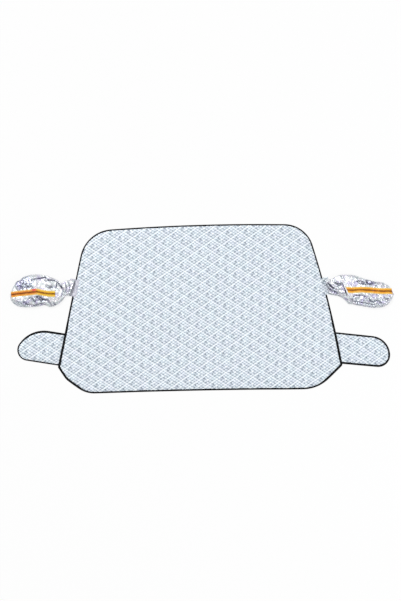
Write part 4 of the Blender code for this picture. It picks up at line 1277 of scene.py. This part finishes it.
def mirror_cover(
    side, upper, lower, corners, tape_line, creases, crinkle_shade, seed, calm, materials, tape_slant
):
    """One mirror cover: its gathered cuff, elastic, pouch and reflective tape."""
    cuff_upper, pouch_upper = cut_line(smooth_line(upper), corners[0])
    cuff_lower, pouch_lower = cut_line(smooth_line(lower), corners[1])

    def cuff_height(share):
        return 0.0250 + 0.0080 * smooth_step(share)

    def cuff_base(share):
        return 0.0012 * (1.0 - smooth_step((share - 0.30) / 0.70))

    def pouch_height(share):
        rise = 0.0330 + 0.0090 * smooth_step(share / 0.45)
        tail = max(0.0, (share - 0.45) / 0.55)
        return rise * math.sqrt(max(0.0, 1.0 - tail**2.4))

    def curved(share):
        return math.sin(share * math.pi / 2.0)

    fine = 120
    pouch_rows = 110
    lines = [
        [tuple(along_line(line, curved(row / pouch_rows))) for row in range(pouch_rows + 1)]
        for line in (pouch_upper, pouch_lower)
    ]
    grid = np.zeros((pouch_rows, fine, 3))
    for row in range(pouch_rows):
        share = curved(row / pouch_rows)
        part = section_grid(
            [lines[0][row], lines[0][row]], [lines[1][row], lines[1][row]],
            lambda _: pouch_height(share), lambda _: 0.0, 1, fine, no_gather,
        )
        grid[row] = part[0]
    normals = grid_normals(grid, True)
    points = grid.reshape(-1, 3)
    coarse = crumpled(points, seed, 0.050, 0.0095, 7)
    fine_folds = crumpled(points, seed + 1, 0.017, 0.0028, 9)
    tiny_folds = crumpled(points, seed + 2, 0.009, 0.0014, 9)
    rows_share = np.arange(pouch_rows)[:, None] / pouch_rows * np.ones(fine)[None, :]
    eased = (calm + (1.0 - calm) * smooth_step((rows_share - 0.25) / 0.25)).reshape(-1)
    crumple = (0.8 * coarse + fine_folds + tiny_folds) * eased
    fade = smooth_step(np.arange(pouch_rows) / 6.0)[:, None] * np.ones(fine)[None, :]
    facing = np.clip(0.35 + normals[:, :, 2], 0.15, 1.0)
    points = points + normals.reshape(-1, 3) * (crumple * (fade * facing).reshape(-1))[:, None]
    points[:, 2] = np.maximum(points[:, 2], CLOTH_THICKNESS)
    grid = points.reshape(grid.shape)
    grid, shade = creased(grid, grid_normals(grid, True), creases)
    tip = (along_line(pouch_upper, 1.0) + along_line(pouch_lower, 1.0)) / 2.0
    pouch = tube_object(side + "_pouch_cloth", grid, (tip[0], tip[1], 0.010), [materials["foil"]], shade, crinkle_shade)
    walled(pouch, CLOTH_THICKNESS)
    keep(pouch, "foil_cloth", side + "_mirror_pouch")

    cuff_rows = 46
    cuff_around = 200
    cuff_grid = section_grid(cuff_upper, cuff_lower, cuff_height, cuff_base, cuff_rows, cuff_around, cuff_gather)
    cuff_normals = grid_normals(cuff_grid, False)
    points = cuff_grid.reshape(-1, 3)
    crumple = crumpled(points, seed + 5, 0.016, 0.0032 * calm**0.5, 9).reshape(cuff_grid.shape[:2])
    cuff_grid = cuff_grid + cuff_normals * crumple[:, :, None]
    cuff_grid[:, :, 2] = np.maximum(cuff_grid[:, :, 2], CLOTH_THICKNESS)
    cuff_grid, cuff_shade = creased(cuff_grid, grid_normals(cuff_grid, False), creases)
    cuff = tube_object(side + "_cuff_cloth", cuff_grid, None, [materials["foil"]], cuff_shade, crinkle_shade)
    walled(cuff, CLOTH_THICKNESS)
    keep(cuff, "foil_cloth", side + "_mirror_cuff")

    tape = dropped_strip(side + "_tape_strip", tape_line, TAPE_WIDTH, ground_of(pouch), materials["tape"], tape_slant)
    keep(tape, "reflective_tape", side + "_reflective_tape")
    if tape_slant[0]:
        seam = ends_edge(tape_line, tape_slant[0])
        strip = dropped_strip(side + "_edge_strip", seam, 0.0060, ground_of(pouch, tape), materials["edge"])
        keep(strip, "foil_cloth")
    inner = cuff_grid_shrunk(cuff_upper, cuff_lower, cuff_height, cuff_base)
    elastic = tube_object(side + "_elastic_band", inner, None, [materials["elastic"]], np.zeros(inner.shape[:2]))
    walled(elastic, 0.0010)
    keep(elastic, "elastic", side + "_mirror_elastic")
    return pouch, cuff, tape


# The pieces

lattice = quilt_lattice("main_panel")
film = film_material(lattice)
lining = lining_material()
black = binding_material()
thread = thread_material("binding_thread", (0.030, 0.030, 0.034))
tab_cloth = tab_material()
band = elastic_material()
edge_cloth = thread_material("edge_cloth", (1.0, 1.0, 1.0))

panel_outline = smooth_outline(section_loop("main_panel", EDGE_MIDDLE))


def tab_ground(node):
    """The part of the panel that a tab's upper layer covers."""
    path = stretch(panel_outline, *span_of(panel_outline, node))
    normals = outward_normals(path)
    return np.concatenate([path + normals * 0.004, (path - normals * (TAB_WING + 0.001))[::-1]])


tab_nodes = ["left_mirror_tab", "right_mirror_tab"]
panel, _ = quilted_piece(
    "quilted_panel", "main_panel", lattice, 0.0080, [tab_ground(node) for node in tab_nodes], [film, lining]
)
keep(panel, "quilted_film", "main_panel")

swells = {"left": left_flap_swell, "right": right_flap_swell}
for side in ("left", "right"):
    flap, flap_outline = quilted_piece(
        side + "_quilted_flap", side + "_flap", lattice, 0.0076, [], [film, lining]
    )
    keep(flap, "quilted_film", side + "_flap")
    node = side + "_flap_binding"
    path = stretch(flap_outline, *span_of(flap_outline, node))
    tape = swept(side + "_flap_tape", path, folded_section(0.0078), black, 0.0003, swells[side])
    keep(tape, "binding_tape", node)
    thread_row = stitches(side + "_flap_stitches", path, 0.0078 - STITCH_INSET, BINDING_TOP + 0.0001, thread)
    keep(thread_row, "binding_tape")
    length = np.hypot(*np.diff(path, axis=0).T).sum()

panel_tapes = (
    ("upper_tape", "upper_binding", 0.0062, no_swell),
    ("lower_tape", "lower_binding", 0.0084, lower_swell),
)
for name, node, wing, swell in panel_tapes:
    path = stretch(panel_outline, *span_of(panel_outline, node))
    tape = swept(name, path, folded_section(wing), black, 0.0003, swell)
    keep(tape, "binding_tape", node)
    thread_row = stitches(name + "_stitches", path, wing - STITCH_INSET, BINDING_TOP + 0.0001, thread)
    keep(thread_row, "binding_tape")
    length = np.hypot(*np.diff(path, axis=0).T).sum()

for side in ("left", "right"):
    node = side + "_mirror_tab"
    path = stretch(panel_outline, *span_of(panel_outline, node))
    cloth = tab_cloth if side == "left" else film
    tab = swept(side + "_tab_cloth", path, folded_section(TAB_WING, TAB_TONGUE), cloth)
    keep(tab, "tab_cloth", node)

# The right cover's foil is painted darker, with stronger painted light and shade on its facets, than the left's
left_foil = foil_material("left_foil_cloth", 0.82, 0.48)
right_foil = foil_material("right_foil_cloth", 0.77, 0.60)
left_tape = reflector_material("left_tape", (0.92, 0.55, 0.030), (0.86, 0.33, 0.040), 4.4, (3.9, 0.88))
right_tape = reflector_material("right_tape", (0.92, 0.42, 0.025), (0.92, 0.44, 0.025), 4.0, None)
mirror_cover(
    "left", LEFT_UPPER, LEFT_LOWER, [(-0.766, 0.152), (-0.780, 0.014)], LEFT_TAPE, LEFT_CREASES,
    LEFT_CRINKLE_SHADE, 11, 0.45, {"foil": left_foil, "elastic": band, "edge": edge_cloth, "tape": left_tape},
    (0.0, 0.0),
)
mirror_cover(
    "right", RIGHT_UPPER, RIGHT_LOWER, [(0.735, 0.179), (0.776, 0.026)], RIGHT_TAPE, RIGHT_CREASES,
    RIGHT_CRINKLE_SHADE, 23, 0.8, {"foil": right_foil, "elastic": band, "edge": edge_cloth, "tape": right_tape},
    (-0.5, -0.3),
)


# Floor, light and camera

FLOOR_GLOW = 0.88
SIDE_LIGHT = 0.32
TOP_LIGHT = 0.86

floor_graph = Graph("floor", 0.9)
pale = floor_graph.steps(floor_graph.noise(0.6, 2.0), (0.3, (0.88, 0.88, 0.88)), (0.7, (0.90, 0.90, 0.90)))
floor_graph.colour(pale)
glow = floor_graph.node("Emission", (1.0, 1.0, 1.0, 1.0), 1.0)
seen = floor_graph.node("LightPath").outputs["Is Camera Ray"]
share = floor_graph.math("MULTIPLY", seen, FLOOR_GLOW)
both = floor_graph.node("MixShader", share, floor_graph.shader.outputs[0], glow.outputs[0])
floor_graph.tree.links.new(both.outputs[0], floor_graph.tree.nodes["Material Output"].inputs["Surface"])
floor = new_object("floor", [(-9, -9, 0), (9, -9, 0), (9, 9, 0), (-9, 9, 0)], [(0, 1, 2, 3)], [floor_graph.material])

world = bpy.data.worlds.new("world")
world.use_nodes = True
background = world.node_tree.nodes["Background"]
sky = world.node_tree.nodes
links = world.node_tree.links
height = sky.new("ShaderNodeSeparateXYZ")
links.new(sky.new("ShaderNodeTexCoord").outputs["Generated"], height.inputs[0])
shade = sky.new("ShaderNodeValToRGB")
links.new(height.outputs["Z"], shade.inputs["Fac"])
for element, (place, level) in zip(
    [shade.color_ramp.elements[0], shade.color_ramp.elements[1]], ((0.70, SIDE_LIGHT), (0.86, TOP_LIGHT))
):
    element.position = place
    element.color = (level, level, level, 1.0)
shown = sky.new("ShaderNodeMix")
shown.data_type = "RGBA"
links.new(sky.new("ShaderNodeLightPath").outputs["Is Camera Ray"], shown.inputs["Factor"])
links.new(shade.outputs["Color"], shown.inputs["A"])
shown.inputs["B"].default_value = (1.0, 1.0, 1.0, 1.0)
links.new(shown.outputs["Result"], background.inputs["Color"])
bpy.context.scene.world = world


def area_lamp(name, place, target, size, power, colour=(1.0, 1.0, 1.0)):
    lamp = bpy.data.lights.new(name, "AREA")
    lamp.size = size
    lamp.energy = power
    lamp.color = colour
    obj = bpy.data.objects.new(name, lamp)
    obj.location = place
    obj.rotation_euler = (Vector(target) - Vector(place)).to_track_quat("-Z", "Y").to_euler()
    bpy.context.scene.collection.objects.link(obj)
    return obj


area_lamp("key", (-9.0, 11.4, 22.5), (0.0, 0.0, 0.0), 6.0, 3600.0)
area_lamp("side", (4.2, -1.2, 2.6), (0.3, 0.0, 0.0), 1.0, 45.0, (0.93, 0.97, 1.0))

camera = bpy.data.cameras.new("camera")
camera.lens = 100.0
camera.sensor_width = 36.0
camera_object = bpy.data.objects.new("camera", camera)
camera_object.location = PHOTO_MIDDLE + Vector((0.0, 0.0, PHOTO_HEIGHT / 36.0 * 100.0))
bpy.context.scene.collection.objects.link(camera_object)
bpy.context.scene.camera = camera_object
bpy.context.scene.view_settings.view_transform = "Standard"
